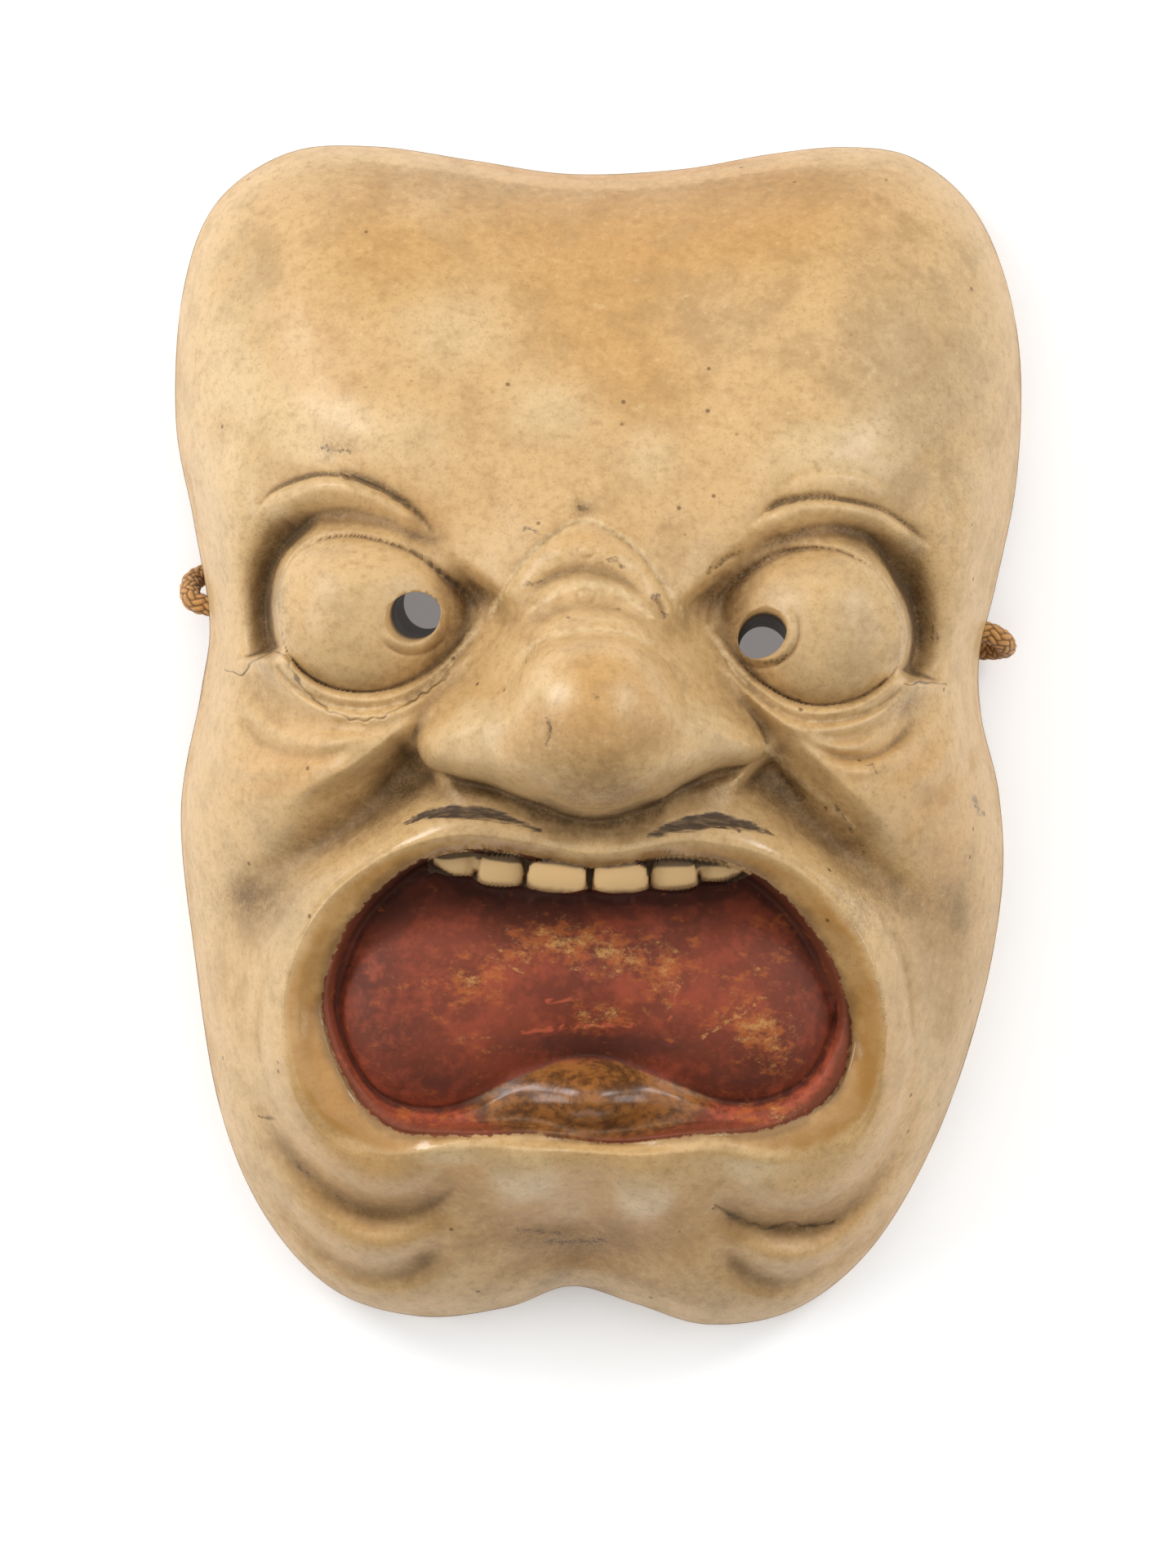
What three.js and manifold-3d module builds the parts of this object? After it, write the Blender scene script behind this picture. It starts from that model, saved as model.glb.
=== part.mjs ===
// A carved wooden theatre mask with bulging eyes, a round nose and a wide open mouth, lying face up.
// Z comes out of the face, Y points to the forehead and X to the right of someone who looks at the face.
// The origin is in the middle of the plane that the rim lies on. All sizes are millimetres.
import * as THREE from "three";
import { mergeVertices } from "three/addons/utils/BufferGeometryUtils.js";
import Module from "manifold-3d";

const wasm = await Module();
wasm.setup();

// Driving sizes
const RIM_WIDTH = 7.5; // wood between the outline and the hollow, at the rim
const EDGE_HEIGHT = 8; // from the rim plane up to where the carved face begins
const RIM_CHAMFER = 1.2;
const TEMPLE_ARCH = 7; // how far the rim is cut away over each temple
const SKULL_DEPTH = 61; // the bare skull at its highest, before nose, eyes and lips
const SHELL_DEPTH = 12; // the hollow stays this far under the bare skull
const MOUTH_BACK = 34.5; // height of the hollow behind the mouth
const MOUTH_FLOOR = 43; // height of the lowest crease inside the mouth
const PUPIL_WIDTH = 8.6;
const CORD_WIDTH = 3.8;
const CORD_HOLE = 4.7;
const KNOT_WIDTH = 8.4;
const SPOKES = 84; // points in each ring of the mask's surface
const FOREHEAD_SPOKES = 7; // how many of them cross the plain forehead
const FOREHEAD_TURN = 48; // the part of the circle that those few cross, in degrees
const FACE_RINGS = 37;
const HOLLOW_RINGS = 9;
const RING_GAP = 2.3; // between two rings on the face
const SNAP = 1.2; // a point this near to the edge of an eye or the mouth moves onto it
const TENT = [[-1, 1], [0, 2], [1, 1]]; // places and weights with which the carving is evened out
const CORD_STEPS = 60;
const CORD_SIDES = 8;
const PUPIL_SIDES = 16;
const CORD_HOLE_SIDES = 12;

// Colours of the paint and the braid
const GESSO = 0xc9ab7c;
const BRAID = 0xb9853f;

// The mask's outline, seen from the front, as stations round it
const OUTLINE = [
  [-4.9, 97.7], [14, 98.5], [30, 101.2], [43, 102.4], [54.5, 100.6], [64.5, 92.6], [70.6, 80], [73.4, 64],
  [72.6, 44], [69, 26], [66.2, 14], [66.6, 3], [69.6, -10], [70.2, -26], [66.5, -47], [58.6, -70],
  [47.5, -89], [34, -99.8], [19, -102.4], [6.5, -98.8], [-4.8, -95.7], [-16, -99.4], [-31, -101],
  [-46, -96.4], [-58, -83.6], [-66, -64.5], [-70.4, -37.5], [-72.7, -13], [-69.2, 7.5], [-67.7, 20],
  [-70.4, 37], [-73.6, 55], [-72.4, 77], [-66.6, 92.6], [-54, 101.4], [-39, 102.5], [-22, 100.1],
];

// Heights of the bare skull along its middle, as shares of its depth, from below the chin to above the top
const SPINE = [0.77, 0.84, 0.9, 0.92, 0.97, 1, 1, 0.975, 0.96, 0.945, 0.885, 0.787];
const SPINE_START = -110;
const SPINE_GAP = 20;

// The mouth: the edge of the red paint, the crest of the lips round it, and the bean-shaped swelling inside
const MOUTH = [
  [0, -22.8], [-10, -21.2], [-22, -19.8], [-33, -22.8], [-43.5, -33], [-47.8, -46], [-44, -59.5], [-36, -68],
  [-24, -69.2], [-12, -68.9], [2, -70.6], [16, -69.2], [30, -68], [40.5, -62], [43.6, -50], [38.5, -35.5],
  [27, -24], [13, -21],
];
const LIP_CREST = [
  [0, -20.6], [-12, -18.6], [-24, -17.2], [-36, -20.4], [-47, -28.6], [-53.4, -40], [-54.4, -52], [-49, -66],
  [-37, -72.4], [-22, -69.9], [-8, -70.4], [6, -71.2], [20, -70.6], [34, -72.6], [45.4, -66.8], [49.6, -52],
  [45.4, -35], [34, -23.2], [18, -18.4],
];
const BEAN = [
  [-37, -25], [-44.4, -37], [-45, -50], [-38.4, -61.6], [-27, -64.4], [-13.5, -59], [-1.5, -55.2],
  [10.5, -59.4], [24, -63.4], [35.4, -59.6], [41, -47.6], [38.6, -33], [30, -21], [10, -17], [-22, -16],
];

// The nose: outline of its body, height of its foot, and the round tip as middle, foot, radii and rise
const NOSE_BODY = [
  [-31.7, -1], [-30.8, 2.8], [-28.2, 6.4], [-24.2, 9.4], [-19.6, 10.9], [-14, 12.4], [-7, 15], [0, 16],
  [7, 14.8], [12.4, 12], [18, 10.3], [22.6, 7.6], [26.2, 3.8], [28.6, -0.2], [28.7, -3], [26, -5.1],
  [20.4, -6.3], [15, -8.8], [10.4, -11.4], [5, -12.9], [-1, -13.2], [-7.4, -12.7], [-13, -11.2],
  [-19, -8.9], [-25, -7.3], [-29.8, -5.2],
];
const BODY_FOOT = 56.5;
const BODY_RISE = 25; // in the middle
const WING_RISE = 12;
const NOSE_TIP = [-0.7, 2.6, 73.5, 15.8, 15.6, 16];

// Each eye: its almond rim, the middle and the peak of the ball, the hole, and where the lower lid ends
const EYES = [
  {
    rim: [
      [-21, 21.8], [-27, 28], [-34, 32.5], [-44, 34.6], [-52.3, 31.6], [-55.2, 23.5], [-53.6, 14], [-48, 8.9],
      [-40, 7.4], [-32, 9.6], [-25, 15.2],
    ],
    middle: [-40.5, 21.4],
    peak: 64,
    cornerY: 22,
    lidEndY: 14,
    pupil: [-32.3, 20.3],
    lean: [2.5, 2.4],
  },
  {
    rim: [
      [19, 21], [24.3, 27.4], [32, 31.8], [41, 32.1], [48.5, 27.6], [52.6, 19.5], [51.2, 11.5], [45, 6.4],
      [36, 5.3], [28, 9.2], [22, 15.8],
    ],
    middle: [38.6, 19],
    peak: 64,
    cornerY: 21,
    lidEndY: 10,
    pupil: [28.2, 18.1],
    lean: [0.3, -3.6],
  },
];

const BALL_RADII = [17.8, 16.2];
const BALL_RISE = 18;
const CORNER_LEVEL = 52; // height of the eyeball at the inner corner of the eye
const EYE_PATCH = [32, 28]; // the eye's carving ends this far from its middle
const PATCH_FADE = 6;

// Heights, widths and slopes of the lips at stations from the chin up, every LIP_GAP
const LIP_START = -80;
const LIP_GAP = 10;
const LIP_SWELL = [6, 7, 9, 10, 8.5, 6, 5.5, 5];
const LIP_REACH = [9, 9, 8, 7.5, 8, 7, 6, 6];
const LIP_DROP = [1, 1.6, 5, 6, 5, 4, 2.4, 1];
const MOUTH_WALL = [2.6, 2.6, 3, 3, 3, 2, 1];

// Teeth of the upper row: middle, half width, half height, height of the crown, turn in degrees
const TEETH = [
  [-24.8, -22.0, 3.7, 2.2, 58.6, -8],
  [-16.9, -23.2, 4.2, 2.9, 60.5, -3],
  [-7.2, -24.3, 5.5, 2.8, 62.5, -6],
  [3.7, -24.5, 5.1, 2.7, 62.5, 2],
  [12.9, -23.8, 4.3, 2.9, 60.5, 3],
  [21.3, -23.0, 4.2, 2.2, 58.6, 6],
];
const GUM = [[-27, -20.6], [-17, -22], [-7, -23], [3.7, -23.2], [13, -22.4], [24, -21]];
const GUM_HEIGHT = 58;

// The cord's route: knot, left hole, a tight loop round the rim, across the hollow, and the same on the right
const HOLE_LEFT = [-67.8, 22.6, 13];
const HOLE_RIGHT = [66.7, 18.5, 13];
const KNOT_LEFT = [-54.6, 22.6, 13];
const KNOT_RIGHT = [53.6, 18.5, 13];
const CORD_ROUTE = [
  [-59.1, 22.6, 13], [-63, 22.6, 13], [-67.5, 22.6, 13], [-70.4, 23.4, 12.2], [-71.1, 25.2, 9.2],
  [-70.3, 27.2, 5.8], [-67.2, 28.3, 4.2], [-61, 28.0, 4.0], [-54, 24, 2.8], [-44, 15, 2.1],
  [-24, 6, 2.0], [0, 3, 2.0], [24, 4.6, 2.0], [44, 10, 2.3], [55, 13.4, 3.4], [62, 14.8, 4.2],
  [67.2, 15.0, 4.4], [70.2, 15.2, 6.4], [70.8, 15.8, 9.4], [69.4, 17.2, 12.2], [66, 18.4, 13],
  [62, 18.5, 13], [58.1, 18.5, 13],
];

// Small formulas
const clamp = (v, low, high) => Math.min(Math.max(v, low), high);
const lerp = (a, b, t) => a + (b - a) * t;
const bell = (v) => Math.exp(-v * v);

function ramp(v, a, b) {
  const t = clamp((v - a) / (b - a), 0, 1);
  return t * t * (3 - 2 * t);
}

// The larger of two heights, with the inner corner rounded over a height of k
function softMax(a, b, k) {
  const h = Math.max(k - Math.abs(a - b), 0) / k;
  return Math.max(a, b) + 0.25 * h * h * k;
}

// A smooth curve through a few heights given at evenly spaced stations
function softTable(v, first, gap, heights, blend) {
  let sum = 0;
  let weight = 0;
  heights.forEach((height, i) => {
    const w = bell((v - first - gap * i) / blend);
    sum += w * height;
    weight += w;
  });
  return sum / (weight + 1e-12);
}

// Curves on the face
function curveThrough(points, closed) {
  const knots = points.map(([x, y]) => new THREE.Vector3(x, y, 0));
  const curve = new THREE.CatmullRomCurve3(knots, closed, "catmullrom", 0.5);
  const line = curve.getPoints((closed ? points.length : points.length - 1) * 8);
  const lengths = line.slice(1).map((p, i) => p.distanceTo(line[i]));
  const box = new THREE.Box3().setFromPoints(line);
  return { line, lengths, total: lengths.reduce((a, b) => a + b, 0), box };
}

// The nearest place on a curve: distance, + on the left of the way along it, and the share of its length
function nearest(curve, x, y) {
  let best = { squared: Infinity };
  let before = 0;
  curve.lengths.forEach((length, i) => {
    const a = curve.line[i];
    const b = curve.line[i + 1];
    const sx = b.x - a.x;
    const sy = b.y - a.y;
    const t = clamp(((x - a.x) * sx + (y - a.y) * sy) / (length * length + 1e-12), 0, 1);
    const px = a.x + t * sx;
    const py = a.y + t * sy;
    const squared = (x - px) ** 2 + (y - py) ** 2;
    if (squared < best.squared) {
      const side = Math.sign(sx * (y - a.y) - sy * (x - a.x)) || 1;
      best = { squared, side, share: (before + t * length) / curve.total, x: px, y: py };
    }
    before += length;
  });
  best.distance = Math.sqrt(best.squared) * best.side;
  return best;
}

function isInside(curve, x, y) {
  let odd = false;
  for (let i = 0; i < curve.lengths.length; i++) {
    const a = curve.line[i];
    const b = curve.line[i + 1];
    if (a.y > y !== b.y > y && x < ((b.x - a.x) * (y - a.y)) / (b.y - a.y) + a.x) odd = !odd;
  }
  return odd;
}

// Distance to a closed curve, + inside it
function depthInside(curve, x, y) {
  const distance = Math.abs(nearest(curve, x, y).distance);
  return isInside(curve, x, y) ? distance : -distance;
}

// Carving strokes: each is a function of a place on the face that gives a change of height
function ovalDistance(x, y, cx, cy, rx, ry, turn) {
  const angle = THREE.MathUtils.degToRad(turn);
  const u = ((x - cx) * Math.cos(angle) + (y - cy) * Math.sin(angle)) / rx;
  const v = ((y - cy) * Math.cos(angle) - (x - cx) * Math.sin(angle)) / ry;
  return Math.hypot(u, v);
}

function swelling(x, y, [cx, cy, rx, ry, rise, turn = 0, power = 2]) {
  return rise * Math.exp(-(ovalDistance(x, y, cx, cy, rx, ry, turn) ** power));
}

// A dome that stands on a foot of its own and falls away past its edge, by fall for each radius
function lump(x, y, [cx, cy, foot, rx, ry, rise], fall) {
  const q = ovalDistance(x, y, cx, cy, rx, ry, 0);
  return foot + rise * Math.sqrt(1 - Math.min(q, 1) ** 2) - fall * Math.max(q - 1, 0);
}

function taper(share, first, last) {
  return ramp(share, 0, first) * ramp(1 - share, 0, last);
}

function isFar(curve, x, y, reach) {
  const { min, max } = curve.box;
  return x < min.x - reach || x > max.x + reach || y < min.y - reach || y > max.y + reach;
}

// A round ridge, or a groove where the height is below zero
function ridge(points, width, height, tips = [0.25, 0.25]) {
  const curve = curveThrough(points, false);
  return (x, y) => {
    if (isFar(curve, x, y, width * 3)) return 0;
    const near = nearest(curve, x, y);
    return height * taper(near.share, ...tips) * bell(near.distance / width);
  };
}

// A crease: the left side dips softly to it, the right side rises sharply and rolls over
function fold(points, sharp, soft, depth, roll, tips = [0.2, 0.2]) {
  const curve = curveThrough(points, false);
  return (x, y) => {
    if (isFar(curve, x, y, soft * 5)) return 0;
    const near = nearest(curve, x, y);
    const share = taper(near.share, ...tips);
    if (near.distance > 0) return -share * depth * Math.exp(-near.distance / (soft * 0.6));
    const r = -near.distance;
    const rolled = roll * (r / soft) * Math.exp(1 - r / soft) * (1 - ramp(r, 2.5 * soft, 5 * soft));
    return share * (rolled - depth * Math.exp(-r / sharp));
  };
}

// A step up to the right of the line, that fades away again over its reach
function step(points, rise, reach, height, tips) {
  const curve = curveThrough(points, false);
  return (x, y) => {
    if (isFar(curve, x, y, reach * 2.2)) return 0;
    const near = nearest(curve, x, y);
    const r = -near.distance;
    const up = ramp(r, -rise * 0.5, rise) * bell(Math.max(r - rise, 0) / reach);
    return height * taper(near.share, ...tips) * up;
  };
}

// Strokes that fade out towards the outline
const BROW_SWELLINGS = [
  [-38, 51, 22, 12, 3.0],
  [40, 48, 22, 12, 3.0],
  [-2, 50, 15, 18, 2.0],
  [-54, -10, 12, 11, 4.0],
  [54, -10, 12, 11, 4.0],
];
const SOCKETS = [
  [-42, 24, 18, 14, -6.5, 0, 4],
  [40, 22, 18, 14, -6.5, 0, 4],
];
const TEMPLE_STROKES = [
  ridge([[-65, 56], [-63.9, 34], [-63.6, 14], [-66, -12]], 6, 4.2),
  ridge([[66, 54], [62.8, 28], [61.8, 8], [64, -14]], 6, 4.2),
  ridge([[-38, 37.3], [-50, 36.6], [-56.4, 30], [-57.6, 21], [-56.4, 12]], 3.4, -3.8, [0.45, 0.12]),
  ridge([[32, 35.2], [43, 34.8], [51.2, 29.6], [54.8, 20], [54.2, 9]], 3.4, -3.8, [0.45, 0.12]),
  fold(
    [[-60, 37.3], [-57, 41.8], [-50, 44.7], [-44, 44.7], [-37.5, 42.3], [-31.5, 38.3], [-27.4, 33.8]],
    0.8, 2.6, 0.6, 2.7,
  ),
  fold(
    [[25.3, 35.3], [30, 39.2], [36, 40.9], [42, 40.6], [49, 38.9], [54.4, 35.4], [58.6, 31.6]],
    0.8, 2.6, 0.8, 2.7,
  ),
];
const BRIDGE_STROKES = [
  fold(
    [[-21.6, 13.6], [-16.2, 25.6], [-12, 31], [-7.8, 34.6], [-3.2, 36.8], [1.8, 35.2], [6.6, 31.6],
      [10.6, 26.4], [13.8, 20.8], [20, 9]],
    0.8, 2.2, 0.4, 1.5,
  ),
  ridge([[-10, 29], [-6.4, 31.6], [-2.2, 32.4], [2.4, 31], [6, 27.6]], 1.7, 0.8),
  ridge([[-14.4, 22.4], [-8.6, 27], [-2.6, 28.6], [3.6, 27], [9.8, 22.2]], 1.2, -0.9),
  ridge([[-13.4, 20.4], [-7.6, 24.4], [-2, 25.6], [4.6, 24], [9.8, 19.4]], 1.4, 0.9),
  ridge([[-14, 17.4], [-8, 21], [-2, 22], [5, 20.6], [11, 16]], 1.2, -0.9),
];
const CHEEK_STROKES = [
  step([[52, -20], [41, -10.4], [33.4, -2.8], [26.6, 4.2], [18.4, 11.6]], 3.4, 12, 4.6, [0.3, 0.4]),
  step([[-22, 9.4], [-28.4, 3.8], [-34.4, -1.6], [-42, -7.4], [-56, -14]], 3.4, 12, 4.6, [0.4, 0.35]),
  ridge([[26, -5], [34, -13], [43, -21], [52, -28.4], [59, -36]], 4.4, -7.2, [0.06, 0.6]),
  ridge([[-29, -4], [-38, -12], [-48, -19], [-57, -25], [-65, -32]], 5, -7.4, [0.06, 0.6]),
];
const WING_STROKES = [
  ridge([[-14, 12], [-16, 6], [-16.4, -1], [-15, -8]], 2.6, -0.9, [0.3, 0.4]),
  ridge([[12.6, 12], [14.6, 6], [14.8, -1], [13.6, -7]], 2.6, -0.8, [0.3, 0.4]),
];
const BAG_STROKES = [
  ridge([[-61.5, 7], [-57, 1.4], [-50, -1], [-38, 0.8]], 1.6, 1.2),
  ridge([[-63, 4], [-57.4, -1.4], [-50, -3.4], [-44, -3.2]], 1.6, -1.1),
  ridge([[35, 0.8], [43, -2.3], [51, -1.6], [58, 5.6]], 1.7, 1.5),
  ridge([[38, -3.6], [46, -4.9], [54, -2.2], [58.6, 2]], 1.4, -1.3),
];
const JOWL_STROKES = [
  ridge(
    [[-59.4, -42], [-59.8, -56], [-55.6, -68.6], [-48, -77.6], [-40, -82.4], [-31.6, -82.4], [-23.4, -77.4]],
    3, -2.7, [0.5, 0.12],
  ),
  ridge(
    [[-55.6, -46], [-55.4, -60], [-50, -70.6], [-42, -76.6], [-33, -77.4], [-25, -74.4]],
    3.6, 1.9, [0.4, 0.3],
  ),
  ridge([[-60, -70], [-53, -81], [-44, -87.4], [-35, -88.2], [-27.4, -84]], 3.4, 2.2, [0.4, 0.3]),
  ridge(
    [[-62.4, -72], [-56, -83.6], [-48, -91], [-40, -94.4], [-32, -92.6], [-25.4, -85.8]],
    2.8, -2.5, [0.4, 0.15],
  ),
  ridge(
    [[19, -79.4], [24.6, -84], [32, -85.9], [40.4, -84.6], [48, -77.6], [53.6, -66], [55, -50]],
    2.9, -2.7, [0.12, 0.5],
  ),
  ridge([[20, -75.6], [27, -78.4], [36, -79.4], [44, -75], [50, -65], [51.6, -54]], 3.4, 1.9, [0.3, 0.4]),
  ridge([[22, -86.6], [29.6, -90.4], [38.4, -89.8], [47, -83.4], [55, -72]], 3.2, 2.1, [0.3, 0.4]),
  ridge(
    [[19.4, -86.6], [25, -92.6], [32.4, -95.8], [41, -93.8], [49.4, -86.4], [57, -74]],
    2.7, -2.4, [0.15, 0.4],
  ),
];
const CHIN_SWELLINGS = [
  [-13, -77, 8, 6, 3.8],
  [9, -79.5, 8, 6, 4],
  [-2, -76, 22, 9, 2.4],
  [-5, -91, 12, 6, -3.0],
];
const BRIDGE = [-1, 20, 15.5, 19, 8.8, 0, 2.6];
const BRIDGE_FOOT = [-0.7, 14, 12, 8, 6];
const TONGUE = [-2, -62.4, 19.5, 6.6, 6.5, 0, 2.8];
const TONGUE_TIP = [-1.4, -63.2, 8, 5.6, 4.6];
const NOSE_ROOM = [0, 3, 14, 13, 16, 0, 2.5]; // room in the hollow for the wearer's nose
const BEHIND_MOUTH = [-2, -45, 56, 36, 1, 0, 4]; // where the hollow is kept low

const outlineCurve = curveThrough(OUTLINE, true);
const mouthCurve = curveThrough(MOUTH, true);
const crestCurve = curveThrough(LIP_CREST, true);
const beanCurve = curveThrough(BEAN, true);
const noseCurve = curveThrough(NOSE_BODY, true);
const gumCurve = curveThrough(GUM, false);
const eyeCurves = EYES.map((eye) => curveThrough(eye.rim, true));

function sum(strokes, x, y) {
  return strokes.reduce((total, stroke) => total + stroke(x, y), 0);
}

function sumSwellings(list, x, y) {
  return list.reduce((total, one) => total + swelling(x, y, one), 0);
}

// How far the outline is from the middle in a direction
function outlineReach(angle) {
  const dx = Math.cos(angle);
  const dy = Math.sin(angle);
  for (let i = 0; i < outlineCurve.lengths.length; i++) {
    const a = outlineCurve.line[i];
    const b = outlineCurve.line[i + 1];
    const before = dx * a.y - dy * a.x;
    const after = dx * b.y - dy * b.x;
    const t = before / (before - after);
    const reach = dx * lerp(a.x, b.x, t) + dy * lerp(a.y, b.y, t);
    if (before * after <= 0 && before !== after && reach > 0) return reach;
  }
  throw new Error("the outline doesn't close round the middle");
}

// The rim is cut away over the temples, and lies flat above and below them
function rimHeight(x, y) {
  const along = clamp((y - 20) / 42, -1, 1);
  return TEMPLE_ARCH * (1 - along * along) ** 2 * ramp(Math.abs(x), 35, 55);
}

// Height of the bare skull: a dome over the outline, boxier across than along
function skullHeight(x, y, share, foot, lowered) {
  const spine = SKULL_DEPTH * softTable(y, SPINE_START, SPINE_GAP, SPINE, 14);
  const across = Math.cos(Math.atan2(y, x)) ** 2;
  const dome = (1 - Math.min(share, 1) ** lerp(2.3, 3.1, across)) ** 0.52;
  return foot + (spine - lowered - foot) * dome;
}

// The eyeball's dome, levelled off towards the inner corner
function ballHeight(eye, x, y) {
  const [rx, ry] = BALL_RADII;
  const q = Math.hypot((x - eye.middle[0]) / rx, (y - eye.middle[1]) / ry);
  const dome = BALL_RISE * Math.sqrt(clamp(1 - q * q, 0, 1)) - 1.5 * Math.max(q - 1, 0) * ry;
  return softMax(eye.peak - BALL_RISE + dome, CORNER_LEVEL, 5);
}

// Ball, lids and socket of one eye
function withEye(eye, curve, x, y, height) {
  const side = Math.sign(eye.middle[0]);
  const insideX = EYE_PATCH[0] - Math.abs(x - eye.middle[0]);
  const insideY = EYE_PATCH[1] - Math.abs(y - eye.middle[1]);
  const edge = ramp(insideX, 0, PATCH_FADE) * ramp(insideY, 0, PATCH_FADE);
  if (edge === 0) return height;
  const near = nearest(curve, x, y);
  const crease = 0.7 * bell(near.distance / 0.35);
  if (isInside(curve, x, y)) return lerp(height, ballHeight(eye, x, y) - crease, edge);
  const out = Math.abs(near.distance);
  const u = side * (x - eye.middle[0]);
  const split = lerp(eye.cornerY, eye.lidEndY, ramp(u, -12, 14));
  const blend = lerp(6, 1.6, ramp(u, -18, -4));
  const low = ramp(split - y, -blend, blend);
  const outer = (1 - low) * ramp(u, 7, 13);
  const top = 1 - low - outer;
  const lid = low + 0.4 * top - 1.8 * outer;
  const wide = 10 * low + 5 * top + 2.6 * outer;
  let wall = lerp(ballHeight(eye, near.x, near.y) + lid, height, ramp(out, 0, wide));
  const o = out / lerp(0.62, 1, ramp(u, -17, -4));
  wall += low * 0.9 * bell((o - 1.3) / 0.9);
  wall -= low * 0.6 * bell((o - 2.8) / 0.7);
  wall += low * 0.9 * bell((o - 4.2) / 1.1);
  return lerp(height, wall - crease, edge);
}

// The round tip on the body with its two wings, steep below and soft above
function withNose(x, y, height) {
  const upper = ramp(y, -5, 7);
  const inward = depthInside(noseCurve, x, y) / lerp(6.5, 13, upper);
  const rise = lerp(BODY_RISE, WING_RISE, ramp(Math.abs(x + 1), 10, 31));
  const rounded = (1 - (1 - clamp(inward, 0, 1)) ** 2) ** lerp(0.5, 0.8, upper);
  const body = BODY_FOOT + rise * rounded + 16 * Math.min(inward, 0);
  const tip = lump(x, y, NOSE_TIP, lerp(120, 30, upper));
  const nose = softMax(tip, body, 5) + sum(WING_STROKES, x, y);
  return softMax(height + swelling(x, y, BRIDGE_FOOT), nose, lerp(1, 8, upper));
}

// The lips swell round the mouth, and slope in from their crest to the edge of the paint
function withLips(x, y, height, inMouth, inCrest) {
  const swell = softTable(y, LIP_START, LIP_GAP, LIP_SWELL, 8);
  const reach = softTable(y, LIP_START, LIP_GAP, LIP_REACH, 8);
  const made = height + swell * bell(Math.max(-inCrest, 0) / reach);
  if (inCrest <= 0) return made;
  const level = ramp(-y, 60, 68) * (1 - ramp(Math.abs(x + 1), 16, 26));
  const drop = softTable(y, LIP_START, LIP_GAP, LIP_DROP, 6) * lerp(1, 0.25, level);
  const share = inCrest / (inCrest + Math.max(-inMouth, 0) + 1e-6);
  return made - drop * share ** 0.85;
}

// Inside the mouth: the bean-shaped swelling, the ledge round it and the tongue's tip
function mouthInside(x, y) {
  const inBean = depthInside(beanCurve, x, y);
  let floor = MOUTH_FLOOR + 1.6 + 1.4 * ramp(-inBean, 0, 2.2) + 0.8 * bell((-inBean - 3) / 1.8);
  if (inBean > 0) {
    const u = Math.min(inBean / 17, 1);
    floor = MOUTH_FLOOR + 1.6 + 7 * (1 - (1 - u) ** 2) ** 0.72;
  }
  const tongue = MOUTH_FLOOR - 1 + swelling(x, y, TONGUE) + swelling(x, y, TONGUE_TIP);
  return lerp(softMax(floor, tongue, 2), MOUTH_FLOOR + 3, ramp(y, -46, -20) ** 1.6);
}

// Six teeth on a low strip of gum
function withTeeth(x, y, height) {
  const fromGum = Math.abs(nearest(gumCurve, x, y).distance);
  let made = Math.max(height, GUM_HEIGHT - 14 * ramp(fromGum, 1.6, 3.2));
  for (const [tx, ty, halfWidth, halfHeight, crown, turn] of TEETH) {
    const angle = THREE.MathUtils.degToRad(turn);
    const u = ((x - tx) * Math.cos(angle) + (y - ty) * Math.sin(angle)) / halfWidth;
    const v = ((y - ty) * Math.cos(angle) - (x - tx) * Math.sin(angle)) / halfHeight;
    const q = (u ** 4 + v ** 4) ** 0.25;
    if (q < 1.08) made = Math.max(made, crown - 1.2 * u * u - 0.6 * v * v - 10 * ramp(q, 0.82, 1.08));
  }
  return made;
}

// Height of the carved face over the rim plane
function faceHeight(x, y, share) {
  const fade = 1 - ramp(share, 0.9, 1);
  const low = 1 - ramp(share, 0.93, 1);
  const foot = EDGE_HEIGHT + 4 * (rimHeight(x, y) / TEMPLE_ARCH);
  let z = skullHeight(x, y, share, foot, 0);
  z += fade * (sumSwellings(BROW_SWELLINGS, x, y) + sumSwellings(SOCKETS, x, y));
  z += fade * sum(TEMPLE_STROKES, x, y);
  z += swelling(x, y, BRIDGE) + sum(BRIDGE_STROKES, x, y);
  EYES.forEach((eye, i) => {
    z = withEye(eye, eyeCurves[i], x, y, z);
  });
  z += fade * sum(CHEEK_STROKES, x, y);
  z = withNose(x, y, z);
  z += sum(BAG_STROKES, x, y);
  const inMouth = depthInside(mouthCurve, x, y);
  const inCrest = depthInside(crestCurve, x, y);
  z = withLips(x, y, z, inMouth, inCrest);
  if (inMouth > 0) {
    const wall = softTable(y, LIP_START, LIP_GAP, MOUTH_WALL, 6);
    z = withTeeth(x, y, lerp(z, mouthInside(x, y), ramp(inMouth, 0, wall)));
  }
  const chin = sumSwellings(CHIN_SWELLINGS, x, y) + sum(JOWL_STROKES, x, y);
  return z + chin * low * ramp(-inCrest, -0.5, 1.5);
}

// The carving evened out over the patch of surface that one point of the mesh stands for
function patchHeight(x, y, share) {
  const outward = new THREE.Vector2(x, y);
  const halfSpoke = (Math.PI / SPOKES) * outward.length();
  outward.normalize();
  let total = 0;
  let weights = 0;
  for (const [i, weight] of TENT) {
    for (const [j, other] of TENT) {
      const dx = (outward.x * i * RING_GAP) / 2 - outward.y * j * halfSpoke;
      const dy = (outward.y * i * RING_GAP) / 2 + outward.x * j * halfSpoke;
      total += weight * other * faceHeight(x + dx, y + dy, share);
      weights += weight * other;
    }
  }
  return total / weights;
}

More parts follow.
